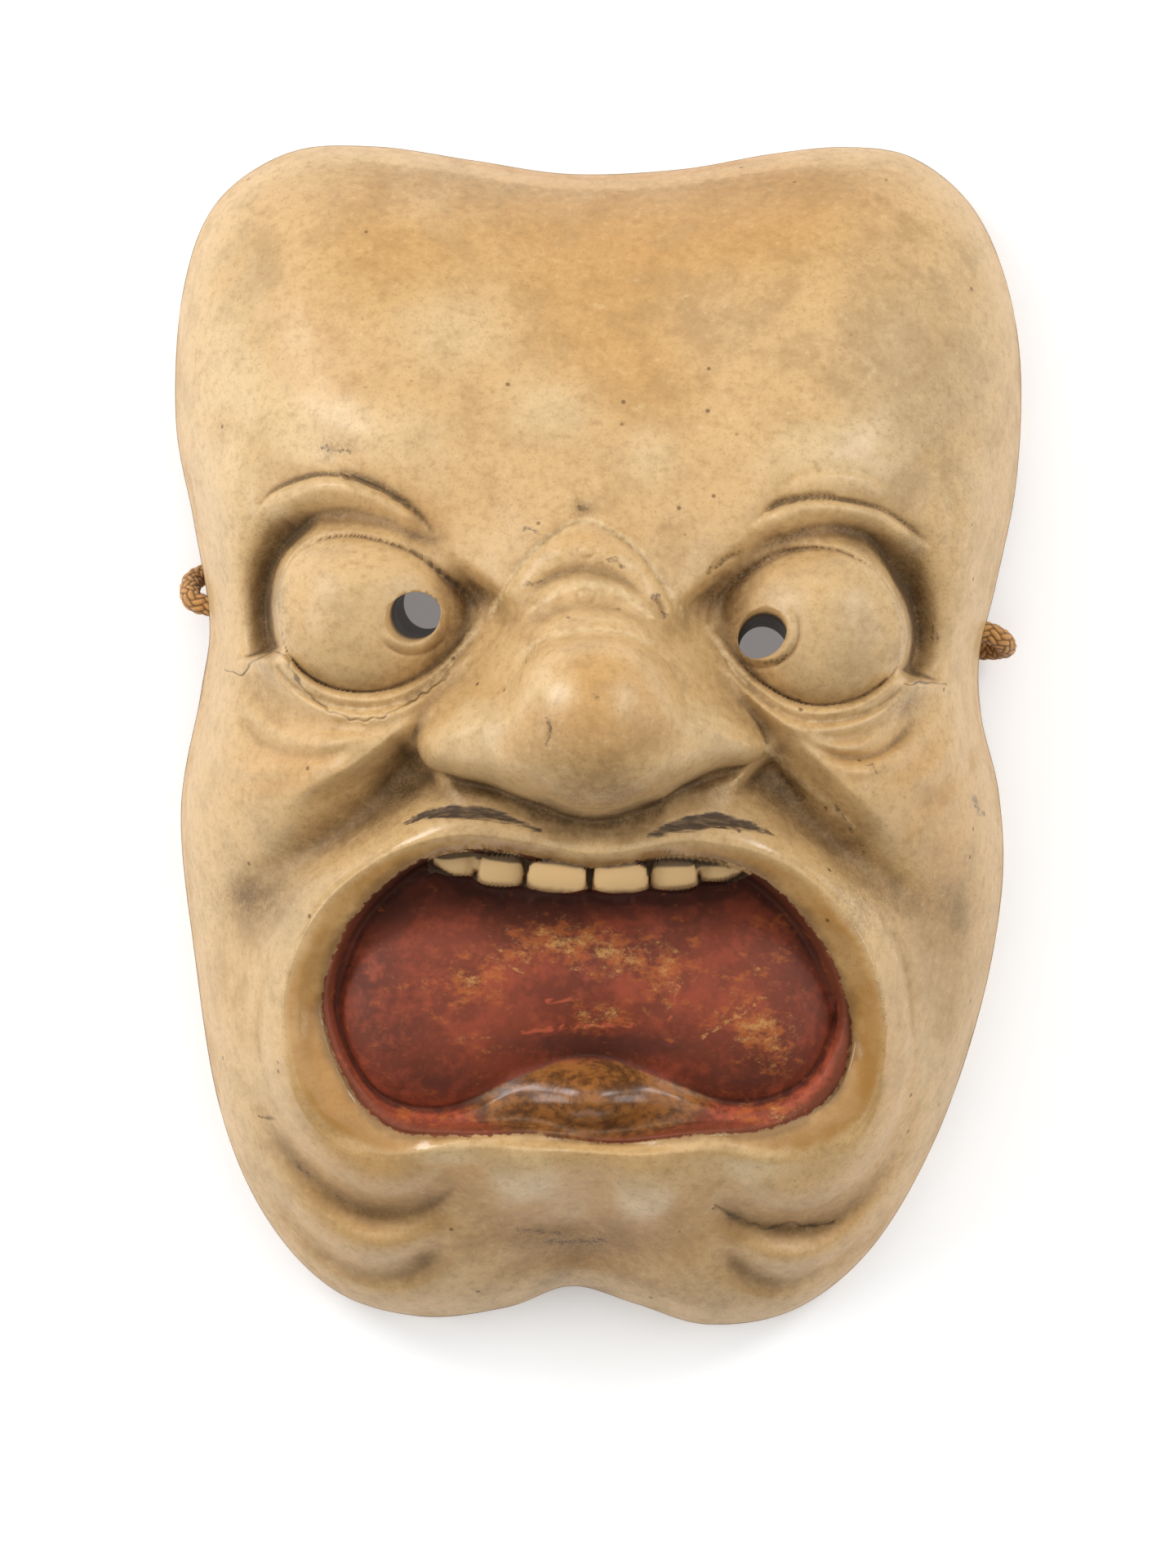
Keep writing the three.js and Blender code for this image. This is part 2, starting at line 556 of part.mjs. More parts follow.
// Height of the hollow: the skull once more, smaller, with room for the nose and none for the mouth
function hollowHeight(x, y, share) {
  const z = skullHeight(x, y, share, rimHeight(x, y), SHELL_DEPTH) + swelling(x, y, NOSE_ROOM);
  return lerp(z, Math.min(z, MOUTH_BACK), swelling(x, y, BEHIND_MOUTH));
}

// The spokes are further apart over the forehead than over the features
function spokeAngle(k) {
  const turn = THREE.MathUtils.degToRad(FOREHEAD_TURN);
  const start = (Math.PI - turn) / 2;
  if (k < FOREHEAD_SPOKES) return start + (turn * k) / FOREHEAD_SPOKES;
  return start + turn + ((2 * Math.PI - turn) * (k - FOREHEAD_SPOKES)) / (SPOKES - FOREHEAD_SPOKES);
}

// A place on the face, moved onto the edge of an eye or of the mouth where that is close by
function snapped(x, y) {
  for (const curve of [mouthCurve, ...eyeCurves]) {
    if (isFar(curve, x, y, SNAP)) continue;
    const near = nearest(curve, x, y);
    if (Math.abs(near.distance) < SNAP) return [near.x, near.y];
  }
  return [x, y];
}

// Rings of points from the tip of the nose out over the face, round the rim and back into the hollow
function maskRings() {
  const rings = [];
  for (let i = 1; i <= FACE_RINGS; i++) {
    const t = i / FACE_RINGS;
    const share = 0.62 * t + 0.38 * Math.sin((Math.PI / 2) * t);
    rings.push({ inset: 0, share, height: patchHeight });
  }
  rings.push({ inset: 0, share: 1, height: (x, y) => rimHeight(x, y) + RIM_CHAMFER });
  rings.push({ inset: RIM_CHAMFER, share: 1, height: rimHeight });
  for (let i = HOLLOW_RINGS; i >= 1; i--) {
    const share = Math.sin((Math.PI / 2) * (i / HOLLOW_RINGS));
    rings.push({ inset: RIM_WIDTH, share, height: hollowHeight });
  }
  return rings;
}

// A quad is split along the diagonal that lies nearer to the carved surface
function splitQuad(corners, points, height) {
  const [a, b, c, d] = corners.map((at) => points[at]);
  const x = (a.x + b.x + c.x + d.x) / 4;
  const y = (a.y + b.y + c.y + d.y) / 4;
  const carved = height(x, y);
  const [p, q, r, t] = corners;
  if (Math.abs((a.z + c.z) / 2 - carved) <= Math.abs((b.z + d.z) / 2 - carved)) return [p, q, r, p, r, t];
  return [p, q, t, q, r, t];
}

function maskGeometry() {
  const rings = maskRings();
  const angles = Array.from({ length: SPOKES }, (_, k) => spokeAngle(k));
  const reaches = angles.map(outlineReach);
  const points = [new THREE.Vector3(0, 0, patchHeight(0, 0, 0))];
  for (const ring of rings) {
    angles.forEach((angle, k) => {
      const reach = (reaches[k] - ring.inset) * ring.share;
      let place = [reach * Math.cos(angle), reach * Math.sin(angle)];
      if (ring.height === patchHeight && ring.share < 1) place = snapped(...place);
      points.push(new THREE.Vector3(...place, ring.height(...place, ring.share)));
    });
  }
  const last = points.length;
  points.push(new THREE.Vector3(0, 0, hollowHeight(0, 0, 0)));
  const index = [];
  for (let k = 0; k < SPOKES; k++) {
    const next = (k + 1) % SPOKES;
    index.push(0, 1 + k, 1 + next);
    for (let i = 0; i + 1 < rings.length; i++) {
      const inner = 1 + i * SPOKES;
      const outer = inner + SPOKES;
      const corners = [inner + k, outer + k, outer + next, inner + next];
      const carved = i + 1 < FACE_RINGS;
      const share = (rings[i].share + rings[i + 1].share) / 2;
      const height = carved ? (x, y) => patchHeight(x, y, share) : () => points[corners[0]].z;
      index.push(...splitQuad(corners, points, height));
    }
    const end = 1 + (rings.length - 1) * SPOKES;
    index.push(last, end + next, end + k);
  }
  const geometry = new THREE.BufferGeometry().setFromPoints(points);
  geometry.setIndex(index);
  return geometry;
}

// Joining and cutting of closed geometries
function toSolid(geometry) {
  const bare = geometry.clone();
  bare.deleteAttribute("normal");
  bare.deleteAttribute("uv");
  const merged = mergeVertices(bare, 1e-4);
  return new wasm.Manifold(
    new wasm.Mesh({
      numProp: 3,
      vertProperties: new Float32Array(merged.attributes.position.array),
      triVerts: new Uint32Array(merged.index.array),
    }),
  );
}

function toGeometry(solid) {
  const mesh = solid.getMesh();
  const geometry = new THREE.BufferGeometry();
  geometry.setAttribute("position", new THREE.Float32BufferAttribute(mesh.vertProperties, 3));
  geometry.setIndex([...mesh.triVerts]);
  geometry.computeVertexNormals();
  return geometry;
}

// A round drill that runs from one point to another
function drill(from, to, width, sides) {
  const start = new THREE.Vector3(...from);
  const way = new THREE.Vector3(...to).sub(start);
  const geometry = new THREE.CylinderGeometry(width / 2, width / 2, way.length(), sides);
  const turn = new THREE.Quaternion().setFromUnitVectors(new THREE.Vector3(0, 1, 0), way.clone().normalize());
  geometry.applyQuaternion(turn);
  const middle = start.add(way.multiplyScalar(0.5));
  geometry.translate(middle.x, middle.y, middle.z);
  return geometry;
}

// The pupils are drilled right through, each leaning its own way, and the cord holes through the side walls
function holeDrills() {
  const above = 72;
  const level = 62;
  const below = 38;
  const leanSpan = 15;
  const pupils = EYES.map(({ pupil, lean }) => {
    const at = (z) => {
      const t = (level - z) / leanSpan;
      return [pupil[0] + lean[0] * t, pupil[1] + lean[1] * t, z];
    };
    return drill(at(above), at(below), PUPIL_WIDTH, PUPIL_SIDES);
  });
  const inward = 14;
  const outward = 8;
  const cordHoles = [HOLE_LEFT, HOLE_RIGHT].map(([x, y, z]) => {
    const side = Math.sign(x);
    return drill([x - side * inward, y, z], [x + side * outward, y, z], CORD_HOLE, CORD_HOLE_SIDES);
  });
  return [...pupils, ...cordHoles];
}

function mask() {
  const material = new THREE.MeshStandardMaterial({ color: GESSO, roughness: 0.5, metalness: 0 });
  const cut = holeDrills().reduce((solid, one) => solid.subtract(toSolid(one)), toSolid(maskGeometry()));
  const mesh = new THREE.Mesh(toGeometry(cut), material);
  mesh.name = "mask";
  return mesh;
}

// The braided cord as a plain tube along its route
function cord(material) {
  const section = new THREE.Shape(
    Array.from({ length: CORD_SIDES }, (_, i) => {
      const angle = ((2 * Math.PI) / CORD_SIDES) * (i + 0.5);
      return new THREE.Vector2(Math.cos(angle), Math.sin(angle)).multiplyScalar(CORD_WIDTH / 2);
    }),
  );
  const route = new THREE.CatmullRomCurve3(CORD_ROUTE.map((p) => new THREE.Vector3(...p)));
  const options = { steps: CORD_STEPS, bevelEnabled: false, extrudePath: route };
  const geometry = new THREE.ExtrudeGeometry(section, options);
  const mesh = new THREE.Mesh(geometry, material);
  mesh.name = "cord";
  return mesh;
}

function knot(name, place, material) {
  const mesh = new THREE.Mesh(new THREE.SphereGeometry(KNOT_WIDTH / 2, 12, 8), material);
  mesh.position.set(...place);
  mesh.name = name;
  return mesh;
}

const braid = new THREE.MeshStandardMaterial({ color: BRAID, roughness: 0.85, metalness: 0 });
const group = new THREE.Group();
group.add(mask());
group.add(cord(braid));
group.add(knot("knot_left", KNOT_LEFT, braid));
group.add(knot("knot_right", KNOT_RIGHT, braid));

export default group;
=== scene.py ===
# %% [markdown]
# # A carved theatre mask
# The real thing is one block of light wood, carved thin, primed with glue and chalk, painted and rubbed down
# by many hands. This lesson rebuilds its looks around a fixed model of the same mask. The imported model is
# loaded first, because every piece must sit where that model has it.

import math

import bpy
import numpy as np
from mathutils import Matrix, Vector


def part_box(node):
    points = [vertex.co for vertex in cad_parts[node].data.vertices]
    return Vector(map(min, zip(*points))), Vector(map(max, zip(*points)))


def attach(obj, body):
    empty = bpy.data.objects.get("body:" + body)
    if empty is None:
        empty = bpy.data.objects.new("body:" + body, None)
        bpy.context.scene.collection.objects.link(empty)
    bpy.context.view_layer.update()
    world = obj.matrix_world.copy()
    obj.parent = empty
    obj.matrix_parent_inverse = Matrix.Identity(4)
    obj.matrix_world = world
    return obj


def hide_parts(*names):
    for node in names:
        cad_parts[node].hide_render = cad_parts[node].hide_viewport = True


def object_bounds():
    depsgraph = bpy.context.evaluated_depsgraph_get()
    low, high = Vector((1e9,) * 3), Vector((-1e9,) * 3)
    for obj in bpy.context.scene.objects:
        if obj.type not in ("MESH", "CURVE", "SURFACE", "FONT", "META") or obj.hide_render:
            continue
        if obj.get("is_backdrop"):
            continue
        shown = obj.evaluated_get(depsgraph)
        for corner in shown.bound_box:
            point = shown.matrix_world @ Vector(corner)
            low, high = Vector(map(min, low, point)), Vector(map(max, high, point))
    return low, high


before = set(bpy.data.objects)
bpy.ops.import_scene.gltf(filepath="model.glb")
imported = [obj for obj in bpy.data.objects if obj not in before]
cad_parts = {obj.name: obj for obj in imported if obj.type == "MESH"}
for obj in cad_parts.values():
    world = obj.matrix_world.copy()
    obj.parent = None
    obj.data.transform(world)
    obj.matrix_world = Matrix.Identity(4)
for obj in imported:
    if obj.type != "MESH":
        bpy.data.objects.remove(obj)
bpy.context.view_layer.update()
print("packed nodes:", sorted(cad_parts))

# %% [markdown]
# ## Camera
# The photograph looks straight at the mask, which lies on its back rim, so the camera looks straight down.
# A wide lens would swell the nose. A long lens from far away keeps the outline true, as a portrait lens does.

# %% Camera
MM = 0.001
PIXELS_TALL = 1920
PIXELS_PER_MM = 7.034
AIM = (-2.84, -8.39)
CAMERA_HEIGHT = 8000.0


def in_scene(thing_data, name):
    """Makes an object of some data and puts it in the scene."""
    thing = bpy.data.objects.new(name, thing_data)
    bpy.context.scene.collection.objects.link(thing)
    return thing


camera = in_scene(bpy.data.cameras.new("camera"), "camera")
view_height = PIXELS_TALL / PIXELS_PER_MM
camera.data.lens = camera.data.sensor_width * CAMERA_HEIGHT / view_height
camera.data.clip_start = 1.0
camera.data.clip_end = 40.0
camera.location = (AIM[0] * MM, AIM[1] * MM, CAMERA_HEIGHT * MM)
bpy.context.scene.camera = camera
bpy.context.scene.view_settings.view_transform = "Standard"
print("lens", round(camera.data.lens, 1), "mm")

# %% [markdown]
# ## Curves and grids
# Everything here is a surface worked out with numpy. A few helpers do most of the work: a smooth line
# through stations, the distance from many places to that line, and a smooth step from 0 to 1. Carving
# strokes are then written as changes of height at some distance from a line, which is close to how a gouge
# works.


# %% Curves, distances and smooth steps
def smooth_line(points, closed=False, per=8):
    """A uniform Catmull-Rom curve through the points, with some places per span."""
    p = np.array(points, float)
    n = len(p)
    if closed:
        a, b, c, d = (p[np.arange(k - 1, n + k - 1) % n] for k in range(4))
    else:
        q = np.vstack([2 * p[0] - p[1], p, 2 * p[-1] - p[-2]])
        a, b, c, d = (q[k:n + k - 1] for k in range(4))
    t = np.linspace(0, 1, per, endpoint=False)[None, :, None]
    a, b, c, d = (v[:, None, :] for v in (a, b, c, d))
    cubic = (3 * b - a - 3 * c + d) * t ** 3
    square = (2 * a - 5 * b + 4 * c - d) * t ** 2
    line = 0.5 * (2 * b + (c - a) * t + square + cubic)
    end = p[0] if closed else p[-1]
    return np.vstack([line.reshape(-1, p.shape[1]), end])


def ramp(v, low, high):
    """A smooth step: 0 below low, 1 above high, 3t² - 2t³ between."""
    t = np.clip((v - low) / (high - low), 0, 1)
    return t * t * (3 - 2 * t)


def mix(a, b, t):
    """a where t is 0 and b where t is 1."""
    return a + (b - a) * t


def bell(v):
    """The bell curve: 1 in the middle, gone at about 2."""
    return np.exp(-v * v)


def soft_max(a, b, k):
    """The larger of two heights, with the inner corner rounded over a height of k."""
    h = np.maximum(k - np.abs(a - b), 0) / k
    return np.maximum(a, b) + 0.25 * h * h * k


def soft_table(v, first, gap, values, blend):
    """Values at even stations, each weighted by a bell round its station: a smooth curve with no bands."""
    total = 0.0
    weight = 0.0
    for i, value in enumerate(values):
        w = bell((v - first - gap * i) / blend)
        total = total + w * value
        weight = weight + w
    return total / (weight + 1e-12)


def measure(x, y, line, reach):
    """For each place: distance to the line (+ on its left), share of its length, and the nearest point."""
    far = np.full(x.shape, float(reach))
    share = np.zeros(x.shape)
    near_x = np.zeros(x.shape)
    near_y = np.zeros(x.shape)
    low = line.min(0) - reach
    high = line.max(0) + reach
    close = (x > low[0]) & (x < high[0]) & (y > low[1]) & (y < high[1])
    px, py = x[close], y[close]
    best = np.full(px.shape, 1e9)
    side, part, nx, ny = (np.zeros(px.shape) for _ in range(4))
    spans = np.diff(line, axis=0)
    lengths = np.hypot(spans[:, 0], spans[:, 1])
    starts = np.r_[0, np.cumsum(lengths)]
    for (ax, ay), (sx, sy), length, start in zip(line, spans, lengths, starts):
        t = np.clip(((px - ax) * sx + (py - ay) * sy) / (length ** 2 + 1e-12), 0, 1)
        dx = px - ax - t * sx
        dy = py - ay - t * sy
        squared = dx * dx + dy * dy
        won = squared < best
        best[won] = squared[won]
        side[won] = np.sign(sx * dy - sy * dx + 1e-12)[won]
        part[won] = (start + t * length)[won] / starts[-1]
        nx[won] = (ax + t * sx)[won]
        ny[won] = (ay + t * sy)[won]
    far[close] = np.sqrt(best) * side
    share[close] = part
    near_x[close] = nx
    near_y[close] = ny
    return far, share, near_x, near_y


def is_inside(x, y, line):
    """Counts how often a ray to the right crosses the closed line: odd means inside."""
    odd = np.zeros(x.shape, bool)
    for (ax, ay), (bx, by) in zip(line[:-1], line[1:]):
        if ay != by:
            odd ^= ((ay > y) != (by > y)) & (x < (bx - ax) * (y - ay) / (by - ay) + ax)
    return odd


def depth_inside(x, y, line, reach=45.0):
    """Distance to a closed line, + inside it and - outside."""
    away = np.abs(measure(x, y, line, reach)[0])
    return np.where(is_inside(x, y, line), away, -away)


# %% [markdown]
# ## Strokes
# A swelling is a soft oval mound. A ridge is a round bead along a line, or a groove if it goes down. A fold
# is a crease of skin: soft on one side, sharp on the other, where the flesh rolls over. A step raises one
# side of a line and fades away. A lump stands on a foot of its own and falls away past its edge, as a nose
# does.


# %% Carving strokes
def oval(x, y, cx, cy, rx, ry, turn=0.0):
    """Distance from a middle in units of an oval's radii."""
    c, s = math.cos(math.radians(turn)), math.sin(math.radians(turn))
    u = ((x - cx) * c + (y - cy) * s) / rx
    v = ((y - cy) * c - (x - cx) * s) / ry
    return np.hypot(u, v)


def swelling(x, y, cx, cy, rx, ry, rise, turn=0.0, power=2.0):
    """rise · exp(-q to a power), q being the distance in radii: a higher power has a flatter top."""
    return rise * np.exp(-oval(x, y, cx, cy, rx, ry, turn) ** power)


def lump(x, y, cx, cy, foot, rx, ry, rise, fall):
    """A dome of foot + rise · sqrt(1 - q²). Past its edge it falls by fall for each radius."""
    q = oval(x, y, cx, cy, rx, ry)
    return foot + rise * np.sqrt(1 - np.minimum(q, 1) ** 2) - fall * np.maximum(q - 1, 0)


def taper(share, first, last):
    """Fades a stroke in over its first part and out over its last."""
    return ramp(share, 0, first) * ramp(1 - share, 0, last)


def ridge(x, y, points, width, rise, tips=(0.25, 0.25)):
    """rise · bell(distance / width), tapered towards both ends."""
    far, share, _, _ = measure(x, y, smooth_line(points), width * 3.2)
    return rise * taper(share, *tips) * bell(far / width)


def fold(x, y, points, sharp, soft, depth, roll, tips=(0.2, 0.2)):
    """Left of the line the skin dips in over soft. Right of it, it rises within sharp and rolls over."""
    far, share, _, _ = measure(x, y, smooth_line(points), soft * 5)
    dip = -depth * np.exp(-np.clip(far, 0, None) / (soft * 0.6))
    r = np.clip(-far, 0, None)
    rolled = roll * (r / soft) * np.exp(1 - r / soft) * (1 - ramp(r, 2.5 * soft, 5 * soft))
    return taper(share, *tips) * np.where(far > 0, dip, rolled - depth * np.exp(-r / sharp))


def step(x, y, points, rise, reach, height, tips):
    """Right of the line the wood rises by height over rise, and sinks back over reach."""
    far, share, _, _ = measure(x, y, smooth_line(points), reach * 2.2)
    up = ramp(-far, -rise * 0.5, rise) * bell(np.clip(-far - rise, 0, None) / reach)
    return height * taper(share, *tips) * up


def total(stroke, x, y, rows):
    """The sum of the same stroke made with several rows of numbers."""
    return sum(stroke(x, y, *row) for row in rows)


# %% [markdown]
# ## The block
# The block is a dome over the mask's outline. It is boxier across than along, because cheeks are carved
# fuller than chins. The outline's stations go round it once. The back rim is cut away a little over the
# temples.

# %% Outline and bare skull
OUTLINE = [
    (-4.9, 97.7), (14, 98.5), (30, 101.2), (43, 102.4), (54.5, 100.6), (64.5, 92.6), (70.6, 80), (73.4, 64),
    (72.6, 44), (69, 26), (66.2, 14), (66.6, 3), (69.6, -10), (70.2, -26), (66.5, -47), (58.6, -70),
    (47.5, -89), (34, -99.8), (19, -102.4), (6.5, -98.8), (-4.8, -95.7), (-16, -99.4), (-31, -101),
    (-46, -96.4), (-58, -83.6), (-66, -64.5), (-70.4, -37.5), (-72.7, -13), (-69.2, 7.5), (-67.7, 20),
    (-70.4, 37), (-73.6, 55), (-72.4, 77), (-66.6, 92.6), (-54, 101.4), (-39, 102.5), (-22, 100.1),
]
SPINE = [47, 51, 55, 56, 59, 61, 61, 59.5, 58.5, 57.5, 54, 48]
SPINE_START = -110
SPINE_GAP = 20
SPINE_BLEND = 14
FULLNESS = (2.3, 3.1)  # along the mask and across it
DOME_POWER = 0.52
RIM_WIDTH = 7.5
EDGE_HEIGHT = 8.0
TEMPLE_ARCH = 7.0
ARCH_MIDDLE = 20
ARCH_REACH = 42
ARCH_FROM = (35, 55)  # where it begins and where it is full, out from the middle
SHELL_DEPTH = 12.0
MOUTH_BACK = 34.5

outline = smooth_line(OUTLINE, closed=True, per=12)[:-1]
order = np.argsort(np.arctan2(outline[:, 1], outline[:, 0]))
outline_angle = np.arctan2(outline[:, 1], outline[:, 0])[order]
outline_reach = np.hypot(outline[:, 0], outline[:, 1])[order]


def reach_at(angle):
    """How far the outline is from the middle in a direction."""
    return np.interp(angle, outline_angle, outline_reach, period=2 * math.pi)


def rim_height(x, y):
    """The rim lies flat on the table but for a low arch over each temple."""
    along = np.clip((y - ARCH_MIDDLE) / ARCH_REACH, -1, 1)
    return TEMPLE_ARCH * (1 - along * along) ** 2 * ramp(np.abs(x), *ARCH_FROM)


def skull(x, y, share, foot, lowered):
    """foot + (spine - foot) · (1 - share^a)^0.52: nearly a round dome, with a fuller in the cheeks."""
    spine = soft_table(y, SPINE_START, SPINE_GAP, SPINE, SPINE_BLEND) - lowered
    fullness = mix(*FULLNESS, np.cos(np.arctan2(y, x)) ** 2)
    return foot + (spine - foot) * (1 - np.clip(share, 0, 1) ** fullness) ** DOME_POWER


print("outline", np.ptp(outline, axis=0).round(1), "mm")

# %% [markdown]
# ## Forehead, brows and temples
# Broad masses come first, then the sockets, and last the brow folds: one sharp crease with flesh that rolls
# over above each eye. The bridge of the nose is a mound with a soft edge and three rolls across it.

# %% Forehead, brows and temples
BROW_MASSES = [
    (-38, 51, 22, 12, 3.0), (40, 48, 22, 12, 3.0), (-2, 50, 15, 18, 2.0), (-54, -10, 12, 11, 4.0),
    (54, -10, 12, 11, 4.0),
]
SOCKETS = [(-42, 24, 18, 14, -6.5, 0, 4), (40, 22, 18, 14, -6.5, 0, 4)]
TEMPLE_STROKES = [
    ([(-65, 56), (-63.9, 34), (-63.6, 14), (-66, -12)], 6.0, 4.2),
    ([(66, 54), (62.8, 28), (61.8, 8), (64, -14)], 6.0, 4.2),
    ([(-38, 37.3), (-50, 36.6), (-56.4, 30), (-57.6, 21), (-56.4, 12)], 3.0, -3.8, (0.45, 0.12)),
    ([(32, 35.2), (43, 34.8), (51.2, 29.6), (54.8, 20), (54.2, 9)], 3.0, -3.8, (0.45, 0.12)),
]
BROW_LEFT = [(-60, 37.3), (-57, 41.8), (-50, 44.7), (-44, 44.7), (-37.5, 42.3), (-31.5, 38.3), (-27.4, 33.8)]
BROW_RIGHT = [(25.3, 35.3), (30, 39.2), (36, 40.9), (42, 40.6), (49, 38.9), (54.4, 35.4), (58.6, 31.6)]
BROW_FOLDS = [
    (BROW_LEFT, 0.3, 2.4, 0.6, 2.7),
    (BROW_RIGHT, 0.3, 2.4, 0.8, 2.7),
    ([(30, 42), (36, 45.2), (44, 45.6), (52, 42.4)], 0.4, 1.8, 0.3, 0.5),
]
BROW_DENT = (-46, 50, 7, 2.6, -0.5, -12)
BRIDGE = (-1, 20, 15.5, 19, 8.8, 0, 2.6)
BRIDGE_EDGE = ([(-21.6, 13.6), (-19.4, 20), (-16.2, 25.6), (-12, 31), (-7.8, 34.6), (-3.2, 36.8), (1.8, 35.2),
                (6.6, 31.6), (10.6, 26.4), (13.8, 20.8), (17, 14.6), (20, 9)], 0.5, 1.6, 0.3, 1.1, (0.3, 0.3))
BRIDGE_ROLLS = [
    ([(-10, 29), (-6.4, 31.6), (-2.2, 32.4), (2.4, 31), (6, 27.6)], 1.9, 0.9),
    ([(-14.4, 22.4), (-8.6, 27), (-2.6, 28.6), (3.6, 27), (9.8, 22.2)], 1.1, -0.9),
    ([(-13.4, 20.4), (-7.6, 24.4), (-2, 25.6), (4.6, 24), (9.8, 19.4)], 1.6, 1.1),
    ([(-14, 17.4), (-8, 21), (-2, 22), (5, 20.6), (11, 16)], 1.1, -0.9),
    ([(-12.4, 15.6), (-7, 18.8), (-1, 19.8), (5.4, 18.8), (10.4, 14.8)], 1.4, 0.8),
]


def carve_forehead(x, y, z, fade):
    """Adds the brow masses, sockets, brow folds and the wrinkled bridge to the bare skull."""
    z = z + fade * (total(swelling, x, y, BROW_MASSES) + total(swelling, x, y, SOCKETS))
    z = z + fade * (total(ridge, x, y, TEMPLE_STROKES) + total(fold, x, y, BROW_FOLDS))
    z = z + swelling(x, y, *BROW_DENT)
    return z + swelling(x, y, *BRIDGE) + fold(x, y, *BRIDGE_EDGE) + total(ridge, x, y, BRIDGE_ROLLS)


# %% [markdown]
# ## Eyes
# Each eye is a ball that bulges out of an almond opening. The lids are beads round it: one at the top, and
# two below with a groove outside each. Towards the temple the ball falls straight into the socket, so the
# lid is a drop there. On the real mask the eye is the same wood as the face, so it is the same surface here.

# %% Eyes
EYES = [
    {
        "rim": [(-21, 21.8), (-27, 28), (-34, 32.5), (-44, 34.6), (-52.3, 31.6), (-55.2, 23.5), (-53.6, 14),
                (-48, 8.9), (-40, 7.4), (-32, 9.6), (-25, 15.2)],
        "middle": (-40.5, 21.4), "peak": 64.0, "corner_y": 22, "lid_end_y": 14,
        "pupil": (-32.3, 20.3), "lean": (2.5, 2.4), "lip": (0.35, -0.94),
    },
    {
        "rim": [(19, 21), (24.3, 27.4), (32, 31.8), (41, 32.1), (48.5, 27.6), (52.6, 19.5), (51.2, 11.5),
                (45, 6.4), (36, 5.3), (28, 9.2), (22, 15.8)],
        "middle": (38.6, 19.0), "peak": 64.0, "corner_y": 21, "lid_end_y": 10,
        "pupil": (28.2, 18.1), "lean": (0.3, -3.6), "lip": (0.70, -0.71),
    },
]
BALL_RISE = 18.0
BALL_RADII = (17.8, 16.2)
BALL_FALL = 24.3
CORNER_HEIGHT = 52.0
CORNER_JOIN = 5.0
EYE_WINDOW = (32, 28)  # the carving of an eye ends this far from its middle
WINDOW_FADE = 6
LOW_LID, TOP_LID, OUTER_LID = 1.0, 0.4, -1.8  # heights of the lids over the ball
LOW_WALL, TOP_WALL, OUTER_WALL = 10.0, 5.0, 2.6  # widths over which they meet the face


def ball_height(eye, x, y):
    """A dome of BALL_RISE, levelled off towards the inner corner of the eye."""
    q = oval(x, y, *eye["middle"], *BALL_RADII)
    dome = BALL_RISE * np.sqrt(np.clip(1 - q * q, 0, 1)) - BALL_FALL * np.maximum(q - 1, 0)
    return soft_max(eye["peak"] - BALL_RISE + dome, CORNER_HEIGHT, CORNER_JOIN)


def carve_eye(x, y, z, eye):
    """Inside the almond the ball shows. Outside it, the wall goes from the lid's edge back to the face."""
    cx, cy = eye["middle"]
    near = (np.abs(x - cx) < EYE_WINDOW[0]) & (np.abs(y - cy) < EYE_WINDOW[1])
    px, py, face = x[near], y[near], z[near]
    line = smooth_line(eye["rim"], closed=True)
    far, _, edge_x, edge_y = measure(px, py, line, 60)
    within = is_inside(px, py, line)
    out = np.where(within, 0, np.abs(far))
    u = np.sign(cx) * (px - cx)
    split = mix(eye["corner_y"], eye["lid_end_y"], ramp(u, -12, 14))
    blend = mix(6.0, 1.6, ramp(u, -18, -4))
    low = ramp((split - py) / blend, -1, 1)
    outer = (1 - low) * ramp(u, 7, 13)
    top = 1 - low - outer
    lid = ball_height(eye, edge_x, edge_y) + LOW_LID * low + TOP_LID * top + OUTER_LID * outer
    wall = mix(lid, face, ramp(out / (LOW_WALL * low + TOP_WALL * top + OUTER_WALL * outer), 0, 1))
    o = out / mix(0.62, 1.0, ramp(u, -17, -4))
    beads = 0.9 * bell((o - 1.3) / 0.9) - 0.6 * bell((o - 2.8) / 0.7) + 0.9 * bell((o - 4.2) / 1.1)
    wall = wall + low * (beads - 0.4 * bell((o - 6.6) / 1.3)) + 0.25 * top * bell((out - 0.9) / 0.8)
    made = np.where(within, ball_height(eye, px, py), wall) - 0.35 * bell(far / 0.3)
    edge = ramp(EYE_WINDOW[0] - np.abs(px - cx), 0, WINDOW_FADE)
    edge = edge * ramp(EYE_WINDOW[1] - np.abs(py - cy), 0, WINDOW_FADE)
    z = z.copy()
    z[near] = mix(face, made, edge)
    return z


# %% [markdown]
# ## Nose and cheeks
# The nose is a round tip on a body with two flaring wings. It is steep below, where the carver cut under it,
# and soft above. A step lifts each cheek from the wing's crease, and a broad groove runs down past the mouth.

